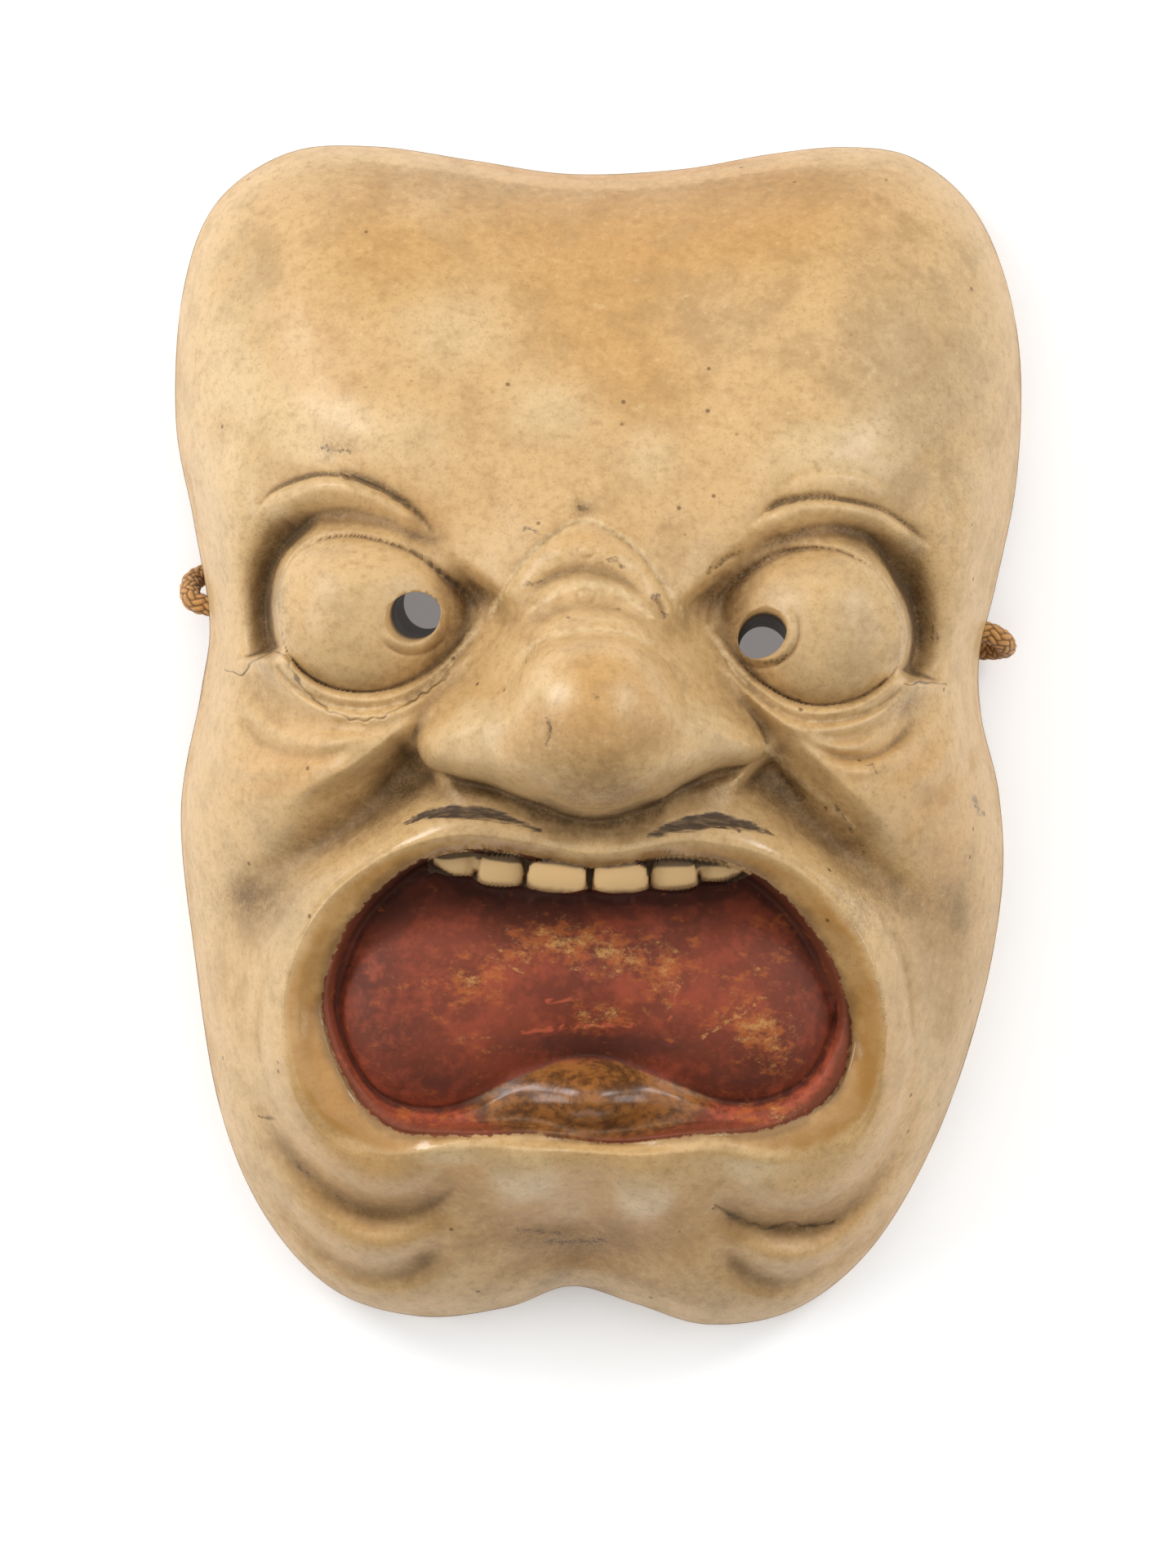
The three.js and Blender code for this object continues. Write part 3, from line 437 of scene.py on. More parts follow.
# %% Nose and cheeks
CHEEK_STEPS = [
    ([(52, -20), (41, -10.4), (33.4, -2.8), (26.6, 4.2), (18.4, 11.6)], 2.6, 12.0, 4.6, (0.3, 0.4)),
    ([(-22, 9.4), (-28.4, 3.8), (-34.4, -1.6), (-42, -7.4), (-56, -14)], 2.6, 12.0, 4.6, (0.4, 0.35)),
]
CHEEK_GROOVES = [
    ([(26, -5), (34, -13), (43, -21), (52, -28.4), (59, -36)], 4.4, -7.2, (0.06, 0.6)),
    ([(-29, -4), (-38, -12), (-48, -19), (-57, -25), (-65, -32)], 5.0, -7.4, (0.06, 0.6)),
    ([(29, -3.6), (33, -8), (38, -13)], 1.6, -1.8, (0.2, 0.6)),
    ([(-32, -3), (-36, -7.4), (-41, -11.6)], 1.8, -1.8, (0.2, 0.6)),
]
BAG_RIDGES = [
    ([(-61.5, 8), (-58.6, 2.6), (-54, -0.4), (-48, -1.4), (-38, 0.4)], 1.5, 1.2),
    ([(-63, 5), (-59.4, -0.6), (-54, -3), (-48, -3.8), (-42, -3)], 1.3, -0.9),
    ([(-68.5, -1), (-64, -5), (-58, -6.3), (-51, -5.6)], 1.6, 0.9),
    ([(33, 1.4), (39, -1.6), (45, -1.6), (50, 1.4), (54, 6)], 1.1, 0.9),
    ([(36, -1.6), (42, -3.8), (48, -3.2), (53, 0.6), (55.4, 5)], 0.9, -1.1),
    ([(38, -4.4), (45, -6.2), (52, -4.2), (57, 1), (58.6, 6)], 1.3, 0.9),
    ([(63.0, 9), (61.6, 0), (58, -6), (52, -9.6)], 1.5, 1.1),
    ([(66.4, 1), (64, -6), (59, -11), (53, -13)], 1.4, -0.7),
]
NOSE_BODY = [
    (-31.7, -1.0), (-30.8, 2.8), (-28.2, 6.4), (-24.2, 9.4), (-19.6, 10.9), (-14, 12.4), (-7, 15), (0, 16),
    (7, 14.8), (12.4, 12), (18, 10.3), (22.6, 7.6), (26.2, 3.8), (28.6, -0.2), (28.7, -3.0), (26, -5.1),
    (20.4, -6.3), (15, -8.8), (10.4, -11.4), (5, -12.9), (-1, -13.2), (-7.4, -12.7), (-13, -11.2),
    (-19, -8.9), (-25, -7.3), (-29.8, -5.2),
]
UPPER_NOSE = (-5, 7)  # from here to here the numbers for below turn into those for above
BODY_FOOT = 56.5
BODY_RISE = 25.0
WING_RISE = 12.0
WING_SPAN = (10, 31)
BODY_EDGE = (6.5, 13.0)  # width of the body's rounded edge, below and above
BODY_POWER = (0.5, 0.8)  # 0.5 is a quarter circle
BODY_FALL = 16
TIP_FALL = (120, 30)
TIP_JOIN = 5.0
FACE_JOIN = (1.0, 8.0)
BRIDGE_FOOT = (-0.7, 14, 12, 8, 6.0)
TIP = (-0.7, 2.6, 73.5, 15.8, 15.6, 16.0)
TIP_FOLD = ([(-14.6, 8), (-13, 13.4), (-9.4, 16), (-3, 17), (4, 16.8), (8.8, 14.8), (12.6, 9)],
            0.3, 1.2, 0.7, 0.2)
WING_VALLEYS = [
    ([(-14, 12), (-16, 6), (-16.4, -1), (-15, -8)], 2.6, -0.9, (0.3, 0.4)),
    ([(12.6, 12), (14.6, 6), (14.8, -1), (13.6, -7)], 2.6, -0.8, (0.3, 0.4)),
]
NOSTRILS = [
    ([(-28.6, -6.6), (-24, -8.4), (-18, -9.6), (-13.6, -11.6)], 1.0, -1.4, (0.3, 0.4)),
    ([(13, -10.6), (18, -8.0), (23, -6.4), (27.4, -5.4)], 1.0, -1.4, (0.4, 0.3)),
]
nose_line = smooth_line(NOSE_BODY, closed=True)


def carve_nose(x, y, z, fade):
    """The cheeks' steps and grooves, then the larger of face and nose, joined hard below and soft above."""
    z = z + fade * total(step, x, y, CHEEK_STEPS) + total(ridge, x, y, CHEEK_GROOVES)
    z = z + swelling(x, y, *BRIDGE_FOOT)
    upper = ramp(y, *UPPER_NOSE)
    inward = depth_inside(x, y, nose_line) / mix(*BODY_EDGE, upper)
    rounded = (1 - (1 - np.clip(inward, 0, 1)) ** 2) ** mix(*BODY_POWER, upper)
    rise = mix(BODY_RISE, WING_RISE, ramp(np.abs(x + 1), *WING_SPAN))
    body = BODY_FOOT + rise * rounded + BODY_FALL * np.minimum(inward, 0)
    tip = lump(x, y, *TIP, mix(*TIP_FALL, upper))
    nose = soft_max(tip, body, TIP_JOIN) + total(ridge, x, y, WING_VALLEYS)
    z = soft_max(z, nose, mix(*FACE_JOIN, upper))
    return z + fold(x, y, *TIP_FOLD) + total(ridge, x, y, BAG_RIDGES) + total(ridge, x, y, NOSTRILS)


# %% [markdown]
# ## Lips, mouth and teeth
# The lips swell round the mouth and slope in from their crest to the edge of the red paint. Inside there is a
# shallow recess with a bean-shaped swelling, a ledge round it and the tip of the tongue. Six teeth hang from
# the upper edge.

# %% Lips, mouth and teeth
MOUTH = [
    (0, -22.8), (-10, -21.2), (-22, -19.8), (-33, -22.8), (-43.5, -33), (-47.8, -46), (-44, -59.5),
    (-36, -68), (-24, -69.2), (-12, -68.9), (2, -70.6), (16, -69.2), (30, -68), (40.5, -62),
    (43.6, -50), (38.5, -35.5), (27, -24), (13, -21),
]
LIP_CREST = [
    (0, -20.6), (-12, -18.6), (-24, -17.2), (-36, -20.4), (-47, -28.6), (-53.4, -40), (-54.4, -52),
    (-49, -66), (-37, -72.4), (-22, -69.9), (-8, -70.4), (6, -71.2), (20, -70.6), (34, -72.6),
    (45.4, -66.8), (49.6, -52), (45.4, -35), (34, -23.2), (18, -18.4),
]
BEAN = [
    (-37, -25), (-44.4, -37), (-45, -50), (-38.4, -61.6), (-27, -64.4), (-13.5, -59), (-1.5, -55.2),
    (10.5, -59.4), (24, -63.4), (35.4, -59.6), (41, -47.6), (38.6, -33), (30, -21), (10, -17), (-22, -16),
]
LIP_STATIONS = (-80, 10)
LIP_SWELL = [6.0, 7.0, 9.0, 10.0, 8.5, 6.0, 5.5, 5.0]
LIP_REACH = [9, 9, 8, 7.5, 8, 7, 6, 6]
LIP_DROP = [1.0, 1.6, 5.0, 6.0, 5.0, 4.0, 2.4, 1.0]
MOUTH_WALL = [2.6, 2.6, 3.0, 3.0, 3.0, 2.0, 1.0]
CREST_RIDGES = [
    ([(-42.6, -26.6), (-50.6, -37.8), (-52.6, -52), (-49, -63.6), (-42, -69.6)], 2.3, 1.4, (0.35, 0.3)),
    ([(32, -23.4), (43.4, -35), (47.8, -50), (45, -64.6)], 2.3, 1.4, (0.35, 0.3)),
    ([(-40, -72.4), (-32, -72), (-23, -70.2)], 1.2, 0.6, (0.4, 0.4)),
    ([(20, -72), (28, -73.8), (36, -73)], 1.6, 0.6, (0.4, 0.4)),
    ([(-55, -34), (-58.6, -46), (-58.2, -58), (-53, -70)], 0.9, -0.7, (0.3, 0.3)),
    ([(46, -26), (52.4, -38), (54.4, -52), (53.2, -64), (49, -74)], 0.9, -0.7, (0.3, 0.3)),
]
MOUTH_FLOOR = 43.0
PILLOW_FOOT = 1.6
PILLOW_RISE = 7.0
PILLOW_EDGE = 17
LEDGE_RISE = 1.4
TONGUE = (-2, -62.4, 19.5, 6.6, 6.5, 0, 2.8)
TONGUE_TIP = (-1.4, -63.2, 8, 5.6, 4.6)
TONGUE_NOTCH = (-2, -66, 1.2, 2.4, 0.7)
TOOTH_EDGE = (0.86, 1.06)
TOOTH_DROP = 8
TEETH = [
    (-24.8, -22.0, 3.7, 2.2, 58.6, -8, -0.5), (-16.9, -23.2, 4.2, 2.9, 60.5, -3, 0.0),
    (-7.2, -24.3, 5.5, 2.8, 62.5, -6, 0.0), (3.7, -24.5, 5.1, 2.7, 62.5, 2, 0.0),
    (12.9, -23.8, 4.3, 2.9, 60.5, 3, 0.0), (21.3, -23.0, 4.2, 2.2, 58.6, 6, 0.5),
]
GUM = [(-27, -20.6), (-17, -22), (-7, -23), (3.7, -23.2), (13, -22.4), (24, -21)]
GUM_HEIGHT = 58.0
mouth_line = smooth_line(MOUTH, closed=True)
crest_line = smooth_line(LIP_CREST, closed=True)
bean_line = smooth_line(BEAN, closed=True)


def carve_lips(x, y, z, in_mouth, in_crest):
    """Outside the crest a bell swells the lip. Inside it, the lip slopes down to the paint's edge."""
    swell = soft_table(y, *LIP_STATIONS, LIP_SWELL, 8)
    reach = soft_table(y, *LIP_STATIONS, LIP_REACH, 8)
    z = z + swell * bell(np.clip(-in_crest, 0, None) / reach)
    level = ramp(-y, 60, 68) * (1 - ramp(np.abs(x + 1), 16, 26))
    drop = soft_table(y, *LIP_STATIONS, LIP_DROP, 6) * mix(1.0, 0.25, level)
    from_crest = np.clip(in_crest, 0, None)
    share = from_crest / (from_crest + np.clip(-in_mouth, 0, None) + 1e-6)
    return z - drop * share ** 0.85 + total(ridge, x, y, CREST_RIDGES)


def carve_mouth(x, y, z, in_mouth):
    """The bean is a round-edged pillow, the ledge a low bead round it, the tongue a mound on a broad one."""
    in_bean = depth_inside(x, y, bean_line)
    rounded = (1 - (1 - np.clip(in_bean / PILLOW_EDGE, 0, 1)) ** 2) ** 0.72
    pillow = MOUTH_FLOOR + PILLOW_FOOT + PILLOW_RISE * rounded
    ledge = MOUTH_FLOOR + PILLOW_FOOT + LEDGE_RISE * ramp(-in_bean, 0.0, 2.2)
    ledge = ledge + 0.8 * bell((-in_bean - 3) / 1.8)
    floor = np.where(in_bean > 0, pillow, ledge)
    tongue = MOUTH_FLOOR - 1 + swelling(x, y, *TONGUE) + swelling(x, y, *TONGUE_TIP)
    floor = soft_max(floor, tongue, 2.0) - swelling(x, y, *TONGUE_NOTCH)
    floor = mix(floor, MOUTH_FLOOR + 3, ramp(y, -46, -20) ** 1.6)
    wide = soft_table(y, *LIP_STATIONS, MOUTH_WALL, 6)
    z = np.where(in_mouth > 0, mix(z, floor, ramp(in_mouth / wide, 0, 1)), z)
    return z - 0.5 * bell(in_mouth / 0.4) * ramp(-y, 26, 34)


def carve_teeth(x, y, z, in_mouth):
    """The row is one strip. Each tooth is a squared oval of power 4 with a domed front, pointed by a lean."""
    from_gum = np.abs(measure(x, y, smooth_line(GUM), 6.0)[0])
    z = np.where(in_mouth > 0, np.maximum(z, GUM_HEIGHT - 14 * ramp(from_gum, 1.6, 3.2)), z)
    for tx, ty, half_width, half_height, crown, turn, point in TEETH:
        c, s = math.cos(math.radians(turn)), math.sin(math.radians(turn))
        u = ((x - tx) * c + (y - ty) * s) / half_width
        v = ((y - ty) * c - (x - tx) * s) / half_height
        low = v - point * u
        q = (u ** 4 + np.where(v < 0, np.minimum(low, v), v) ** 4) ** (1 / 4)
        tooth = crown - 0.9 * u ** 2 - 0.8 * v ** 2 - TOOTH_DROP * ramp(q, *TOOTH_EDGE)
        z = np.where((in_mouth > 0) & (q < TOOTH_EDGE[1]), np.maximum(z, tooth), z)
    return z


# %% [markdown]
# ## Chin and jowls
# Two round lobes make the chin, with a notch below. Two heavy rolls hang on each side of it, one below the
# other, so grooves and swellings alternate there.

# %% Chin and jowls
CHIN = [
    (-13, -77, 8, 6, 3.8), (9, -79.5, 8, 6, 4.0), (-2, -76, 22, 9, 2.4), (-5, -91, 12, 6, -3.0),
    (-6, -85.4, 7, 1.5, -1.0),
]
JOWL_ROLLS = [
    ([(-59.4, -42), (-59.8, -56), (-55.6, -68.6), (-48, -77.6), (-40, -82.4), (-31.6, -82.4), (-23.4, -77.4)],
     3.0, -2.7, (0.5, 0.12)),
    ([(-55.6, -46), (-55.4, -60), (-50, -70.6), (-42, -76.6), (-33, -77.4), (-25, -74.4)],
     3.6, 1.9, (0.4, 0.3)),
    ([(-60, -70), (-53, -81), (-44, -87.4), (-35, -88.2), (-27.4, -84)], 3.4, 2.2, (0.4, 0.3)),
    ([(-62.4, -72), (-56, -83.6), (-48, -91), (-40, -94.4), (-32, -92.6), (-25.4, -85.8)],
     2.8, -2.5, (0.4, 0.15)),
    ([(19, -79.4), (24.6, -84), (32, -85.9), (40.4, -84.6), (48, -77.6), (53.6, -66), (55, -50)],
     2.9, -2.7, (0.12, 0.5)),
    ([(20, -75.6), (27, -78.4), (36, -79.4), (44, -75), (50, -65), (51.6, -54)], 3.4, 1.9, (0.3, 0.4)),
    ([(22, -86.6), (29.6, -90.4), (38.4, -89.8), (47, -83.4), (55, -72)], 3.2, 2.1, (0.3, 0.4)),
    ([(19.4, -86.6), (25, -92.6), (32.4, -95.8), (41, -93.8), (49.4, -86.4), (57, -74)],
     2.7, -2.4, (0.15, 0.4)),
    ([(18.6, -80.2), (25, -84.3), (33, -85.4), (41, -84.4)], 0.5, -0.3, (0.3, 0.3)),
    ([(-36, -83), (-30, -82), (-24, -77.6)], 0.7, -0.4, (0.5, 0.2)),
]


def carve_chin(x, y, z, in_crest, fade):
    """Chin lobes, and jowls that roll down beside them like wet cloth, kept off the lips."""
    carved = total(swelling, x, y, CHIN) + total(ridge, x, y, JOWL_ROLLS)
    return z + carved * fade * ramp(-in_crest, -0.5, 1.5)


# %% [markdown]
# ## Marks of the knife and of age
# Small things make wood look old: two cut slits for a moustache, filled peg holes on the bridge, cracks in
# the paint and slow waves left by the knife. They are cut into the surface too, so they catch the light.

# %% Slits, pegs, cracks and waves
MOUSTACHE = [
    [(-34, -15.3), (-30, -13.1), (-25, -12.1), (-20, -12.3), (-15, -13.9), (-10, -16.4), (-14, -15.5),
     (-19, -14.7), (-24, -14.4), (-29, -14.4)],
    [(8.2, -17.4), (13, -14.7), (18, -13.5), (22, -13.6), (26, -15.0), (30.6, -17.3), (27, -16.5),
     (23, -16.1), (18, -16.1), (13, -16.9)],
]
SCRATCHES = [
    ([(9.4, 24.4), (10.6, 22.4), (11.8, 20)], 0.6, -1.2, (0.4, 0.4)),
    ([(18.6, 28), (22, 30.6), (25.4, 32)], 0.7, -0.8, (0.4, 0.4)),
    ([(-8.7, 3), (-8.3, 0.5), (-8.8, -1.5)], 0.35, -0.3, (0.3, 0.3)),
]
CRACKS = [
    [(-64.8, 11.5), (-62, 10.7), (-60, 12.7), (-56.5, 14.4), (-54.2, 13.8)],
    [(-54, 14), (-53, 11), (-50, 7), (-46, 4), (-42, 2.8), (-38, 3), (-34, 5), (-30, 7.5), (-26, 10.5)],
    [(20, -81.5), (22, -82.5), (25, -84), (29, -85.5), (33, -84.5), (36, -85), (41, -84.5)],
    [(-59, -66), (-56, -66.5)],
    [(53, 8.7), (56, 9.2), (60, 8.8)],
]
PEGS = [(-2.2, 31.8), (-2.2, 24.0)]
BROW_NICK = (-3, 39.6, 1.8, 1.4, -0.8)
CRACK_WIDTH = 0.22
CRACK_DEPTH = 0.35


def waves(x, y, size, seed):
    """Smooth noise of about -1 to 1: many sine waves of one length in seeded directions, averaged."""
    random = np.random.default_rng(seed)
    made = 0.0
    for _ in range(16):
        angle = random.uniform(0, 2 * math.pi)
        length = size * random.uniform(0.8, 1.4)
        phase = random.uniform(0, 2 * math.pi)
        made = made + np.sin((x * math.cos(angle) + y * math.sin(angle)) * 2 * math.pi / length + phase)
    return made / 5


def to_cracks(x, y):
    """Distance to the nearest crack, which wanders a little to each side of its line."""
    px = x + 0.25 * waves(x, y, 2.4, 11)
    py = y + 0.25 * waves(x, y, 2.1, 12)
    away = [np.abs(measure(px, py, smooth_line(line), 4.0)[0]) for line in CRACKS]
    return np.minimum.reduce(away)


def in_moustache(x, y):
    """Distance to the edge of the two painted slits, + inside them."""
    return np.maximum(*(depth_inside(x, y, smooth_line(line, closed=True), 6.0) for line in MOUSTACHE))


def carve_marks(x, y, z):
    """Slits, scratches, pegs in grooves, raised rims round the pupils, cracks and knife waves."""
    z = z - 0.5 * ramp(in_moustache(x, y), -0.3, 0.8) + total(ridge, x, y, SCRATCHES)
    for px, py in PEGS:
        r = np.hypot((x - px) / 1.3, y - py)
        z = z + 0.15 * bell(r / 1.0) - 0.3 * bell((r - 1.2) / 0.35)
    for eye in EYES:
        px, py = eye["pupil"]
        r = np.hypot(x - px, y - py)
        facing = ramp(((x - px) * eye["lip"][0] + (y - py) * eye["lip"][1]) / (r + 1e-6), -0.1, 0.7)
        z = z + facing * (0.7 * bell((r - 5.0) / 0.8) - 0.5 * bell((r - 6.4) / 0.45))
    z = z + swelling(x, y, *BROW_NICK) - CRACK_DEPTH * bell(to_cracks(x, y) / CRACK_WIDTH)
    return z + 0.16 * waves(x, y, 17, 1) + 0.05 * waves(x, y, 6, 2)


def face_height(x, y, share):
    """The carved face over the table, in millimetres."""
    foot = EDGE_HEIGHT + 4 * rim_height(x, y) / TEMPLE_ARCH
    fade = 1 - ramp(share, 0.90, 1.0)
    z = skull(x, y, share, foot, 0)
    z = carve_forehead(x, y, z, fade)
    for eye in EYES:
        z = carve_eye(x, y, z, eye)
    z = carve_nose(x, y, z, fade)
    in_mouth = depth_inside(x, y, mouth_line)
    in_crest = depth_inside(x, y, crest_line)
    z = carve_lips(x, y, z, in_mouth, in_crest)
    z = carve_mouth(x, y, z, in_mouth)
    z = carve_teeth(x, y, z, in_mouth)
    z = carve_chin(x, y, z, in_crest, 1 - ramp(share, 0.93, 1.0))
    return mix(z, carve_marks(x, y, z), 1 - ramp(share, 0.96, 1.0))


# %% [markdown]
# ## The hollow
# The back is the skull once more, smaller, with room for the wearer's nose and none for the mouth. Rows of
# shallow scoops are what a round gouge leaves.

# %% Hollow
GOUGE_WIDTH = 9.0
GOUGE_LENGTH = 26.0
GOUGE_DEPTH = 0.5
NOSE_ROOM = (0, 3, 14, 13, 16, 0, 2.5)
BEHIND_MOUTH = (-2, -45, 56, 36, 1, 0, 4)


def gouged(x, y):
    """Parabolic scoops in rows that lean over, each row shifted against the next."""
    u = (x * 0.94 + y * 0.34) / GOUGE_WIDTH + 0.12 * waves(x, y, 40, 5)
    row = np.floor(u)
    v = (y * 0.94 - x * 0.34) / GOUGE_LENGTH + 0.37 * row + 0.1 * waves(x, y, 50, 6)
    across = 2 * (u - row) - 1
    along = 2 * (v - np.floor(v)) - 1
    return GOUGE_DEPTH * (1 - 0.75 * across ** 2 - 0.25 * along ** 2)


def hollow_height(x, y, share):
    """The ceiling of the hollow over the table, in millimetres."""
    z = skull(x, y, share, rim_height(x, y), SHELL_DEPTH) + swelling(x, y, *NOSE_ROOM)
    z = mix(z, np.minimum(z, MOUTH_BACK), swelling(x, y, *BEHIND_MOUTH))
    return z + gouged(x, y) * ramp(1 - share, 0.0, 0.15)


# %% [markdown]
# ## One closed surface
# A grid of squares is bent onto the outline: each square ring of the grid becomes a ring of the mask, so no
# point is a pole where faces pinch. The face is a fine grid and the hollow a coarser one. A few rings carry
# the surface over the edge, and a fan of triangles zips the fine rim to the coarse one.

# %% Grid bent onto the outline
COARSE = (131, 176)
ZIP = 4
FINE = tuple(ZIP * (n - 1) + 1 for n in COARSE)
EDGE_CROWDING = 1.2


def bent_grid(counts, inset):
    """x, y and share of each place: the square's rings become rings that stay an inset inside the outline."""
    a, b = np.meshgrid(*(np.linspace(-1, 1, n) for n in counts), indexing="ij")
    wide = np.abs(a) > np.abs(b)
    ring = np.where(wide, a, b)
    safe = np.where(ring == 0, 1, ring)
    turn = np.where(wide, math.pi / 4 * b / safe, math.pi / 2 - math.pi / 4 * a / safe)
    angle = np.arctan2(ring * np.sin(turn), ring * np.cos(turn))
    share = 1 - (1 - np.abs(ring)) ** EDGE_CROWDING
    reach = (reach_at(angle) - inset) * share
    return reach * np.cos(angle), reach * np.sin(angle), share


def grid_quads(counts):
    """Corner numbers of every square of the grid, counter-clockwise from above."""
    at = np.arange(counts[0] * counts[1]).reshape(counts)
    return np.stack([at[:-1, :-1], at[1:, :-1], at[1:, 1:], at[:-1, 1:]], -1).reshape(-1, 4)


def grid_border(counts):
    """Numbers of the places on the grid's edge, once round, counter-clockwise from above."""
    at = np.arange(counts[0] * counts[1]).reshape(counts)
    return np.concatenate([at[:-1, 0], at[-1, :-1], at[:0:-1, -1], at[0, :0:-1]])


def in_from(points, inset):
    """The same ring of places, an inset nearer to the middle."""
    radius = np.hypot(points[:, 0], points[:, 1])[:, None]
    return points[:, :2] * (1 - inset / radius)


# %% Mask surface
WALL_RINGS = [(0.0, 4.0), (0.0, 1.3), (0.4, 0.4), (1.3, 0.0)]


def mask_surface():
    """Points, triangles, which triangles are bare wood, and the heights of the face on its grid."""
    fx, fy, f_share = bent_grid(FINE, 0)
    face = np.stack([fx, fy, face_height(fx, fy, f_share)], -1).reshape(-1, 3)
    hx, hy, h_share = bent_grid(COARSE, RIM_WIDTH)
    hollow = np.stack([hx, hy, hollow_height(hx, hy, h_share)], -1).reshape(-1, 3)
    points = [face, hollow]
    quads = grid_quads(FINE)
    painted = [quads[:, [0, 1, 2]], quads[:, [0, 2, 3]]]
    quads = grid_quads(COARSE)[:, ::-1] + len(face)
    bare = [quads[:, [0, 1, 2]], quads[:, [0, 2, 3]]]
    ring = grid_border(FINE)
    start = len(face) + len(hollow)
    for inset, lift in WALL_RINGS:
        place = in_from(face[grid_border(FINE)], inset)
        height = rim_height(place[:, 0], place[:, 1]) + lift
        points.append(np.column_stack([place, height]))
        below = start + np.arange(len(ring))
        a, b, c, d = ring, np.roll(ring, -1), np.roll(below, -1), below
        painted += [np.column_stack([a, c, b]), np.column_stack([a, d, c])]
        ring = below
        start += len(ring)
    coarse = grid_border(COARSE) + len(face)
    ends = np.roll(coarse, -1)
    fine = np.append(ring, ring[0])
    for i in range(ZIP):
        anchor = coarse if i < ZIP // 2 else ends
        bare.append(np.column_stack([anchor, fine[1:][i::ZIP], fine[:-1][i::ZIP]]))
    bare.append(np.column_stack([coarse, ends, fine[ZIP // 2::ZIP]]))
    sides = np.concatenate([np.zeros(sum(map(len, painted)), int), np.ones(sum(map(len, bare)), int)])
    return np.concatenate(points), np.concatenate(painted + bare), sides, face[:, 2].reshape(FINE)


def mesh_of(name, points, faces, sides=None):
    """A mesh object from points in millimetres and faces, smooth shaded."""
    data = bpy.data.meshes.new(name)
    data.from_pydata((points * MM).tolist(), [], faces.tolist())
    data.polygons.foreach_set("use_smooth", np.ones(len(faces), bool))
    if sides is not None:
        data.polygons.foreach_set("material_index", sides)
    data.update()
    return in_scene(data, name)


def finished(piece):
    """Turns the piece's modifiers into plain mesh."""
    graph = bpy.context.evaluated_depsgraph_get()
    made = bpy.data.meshes.new_from_object(piece.evaluated_get(graph))
    piece.modifiers.clear()
    piece.data = made
    return piece


surface, triangles, sides, grid_z = mask_surface()
mask = mesh_of("carved_mask", surface, triangles, sides)
print("dense surface:", len(triangles), "triangles, top", surface[:, 2].max().round(2), "mm")

# %% [markdown]
# ## Thinning and drilling
# The dense surface holds far more triangles than a plain forehead needs. Decimate by collapse keeps them
# where the form is busy. The pupils and cord holes are then drilled with a Boolean, as they are drilled in
# the wood: each pupil leans its own way, which is why the eyes look past each other.

# %% Thinning and drilling
MOST_TRIANGLES = 176000
PUPIL_WIDTH = 8.6
CORD_HOLE = 4.7
HOLE_LEFT = (-67.8, 22.6, 13.0)
HOLE_RIGHT = (66.7, 18.5, 13.0)
LEVEL = 62.0  # the height at which a pupil has the place given for it
LEAN_HEIGHT = 15  # the height over which it leans by its lean
PUPIL_SPAN = (76, 36)
CORD_HOLE_SPAN = (0.82, 1.12)  # shares of the hole's distance from the middle
DRILL_SIDES = 64


def drill(start, end, width):
    """A closed round rod from start to end: two rings and two fans."""
    start, end = np.array(start, float), np.array(end, float)
    way = (end - start) / np.linalg.norm(end - start)
    side = np.cross(way, [0.3, 0.5, 0.8])
    side = side / np.linalg.norm(side)
    other = np.cross(way, side)
    angle = np.linspace(0, 2 * math.pi, DRILL_SIDES, endpoint=False)[:, None]
    ring = width / 2 * (np.cos(angle) * side + np.sin(angle) * other)
    points = np.vstack([start + ring, end + ring, start[None], end[None]])
    i = np.arange(DRILL_SIDES)
    j = (i + 1) % DRILL_SIDES
    first = np.full(DRILL_SIDES, 2 * DRILL_SIDES)
    faces = [[i, j, j + DRILL_SIDES], [i, j + DRILL_SIDES, i + DRILL_SIDES], [j, i, first]]
    faces.append([i + DRILL_SIDES, j + DRILL_SIDES, first + 1])
    return points, np.concatenate([np.column_stack(face) for face in faces])


def pupil_axis(eye, height):
    """Where the middle of a pupil's hole is at some height."""
    t = (LEVEL - height) / LEAN_HEIGHT
    return (eye["pupil"][0] + eye["lean"][0] * t, eye["pupil"][1] + eye["lean"][1] * t, height)


rods = [drill(*(pupil_axis(eye, height) for height in PUPIL_SPAN), PUPIL_WIDTH) for eye in EYES]
for x, y, z in (HOLE_LEFT, HOLE_RIGHT):
    rods.append(drill(*((x * share, y, z) for share in CORD_HOLE_SPAN), CORD_HOLE))
offsets = np.cumsum([0] + [len(points) for points, _ in rods])
rod_points = np.concatenate([points for points, _ in rods])
rod_faces = np.concatenate([faces + offset for (_, faces), offset in zip(rods, offsets)])
rods_piece = mesh_of("rods", rod_points, rod_faces)

thin = mask.modifiers.new("thin", "DECIMATE")
thin.ratio = MOST_TRIANGLES / len(triangles)
holes = mask.modifiers.new("holes", "BOOLEAN")
holes.object = rods_piece
holes.solver = "EXACT"
finished(mask)
bpy.data.objects.remove(rods_piece)
print("finished mask:", len(mask.data.polygons), "faces")

# %% [markdown]
# ## Where the colours go
# The paint follows the form: painted shade and grime sit in the hollows, high places are rubbed pale by hands
# and some carry painted highlights, and the red ends along a ragged line. Each of these is worked out at the
# finished points and stored as an attribute, so that the materials only have to read it. Distances are
# stored as such, because they stay true between points.


# %% Reading the dense grid at the finished points
LEVELLED = 75  # higher places count as this high, so that the tall tip of the nose makes no valley round it
BLURS = (3, 9, 24)  # in places of the grid


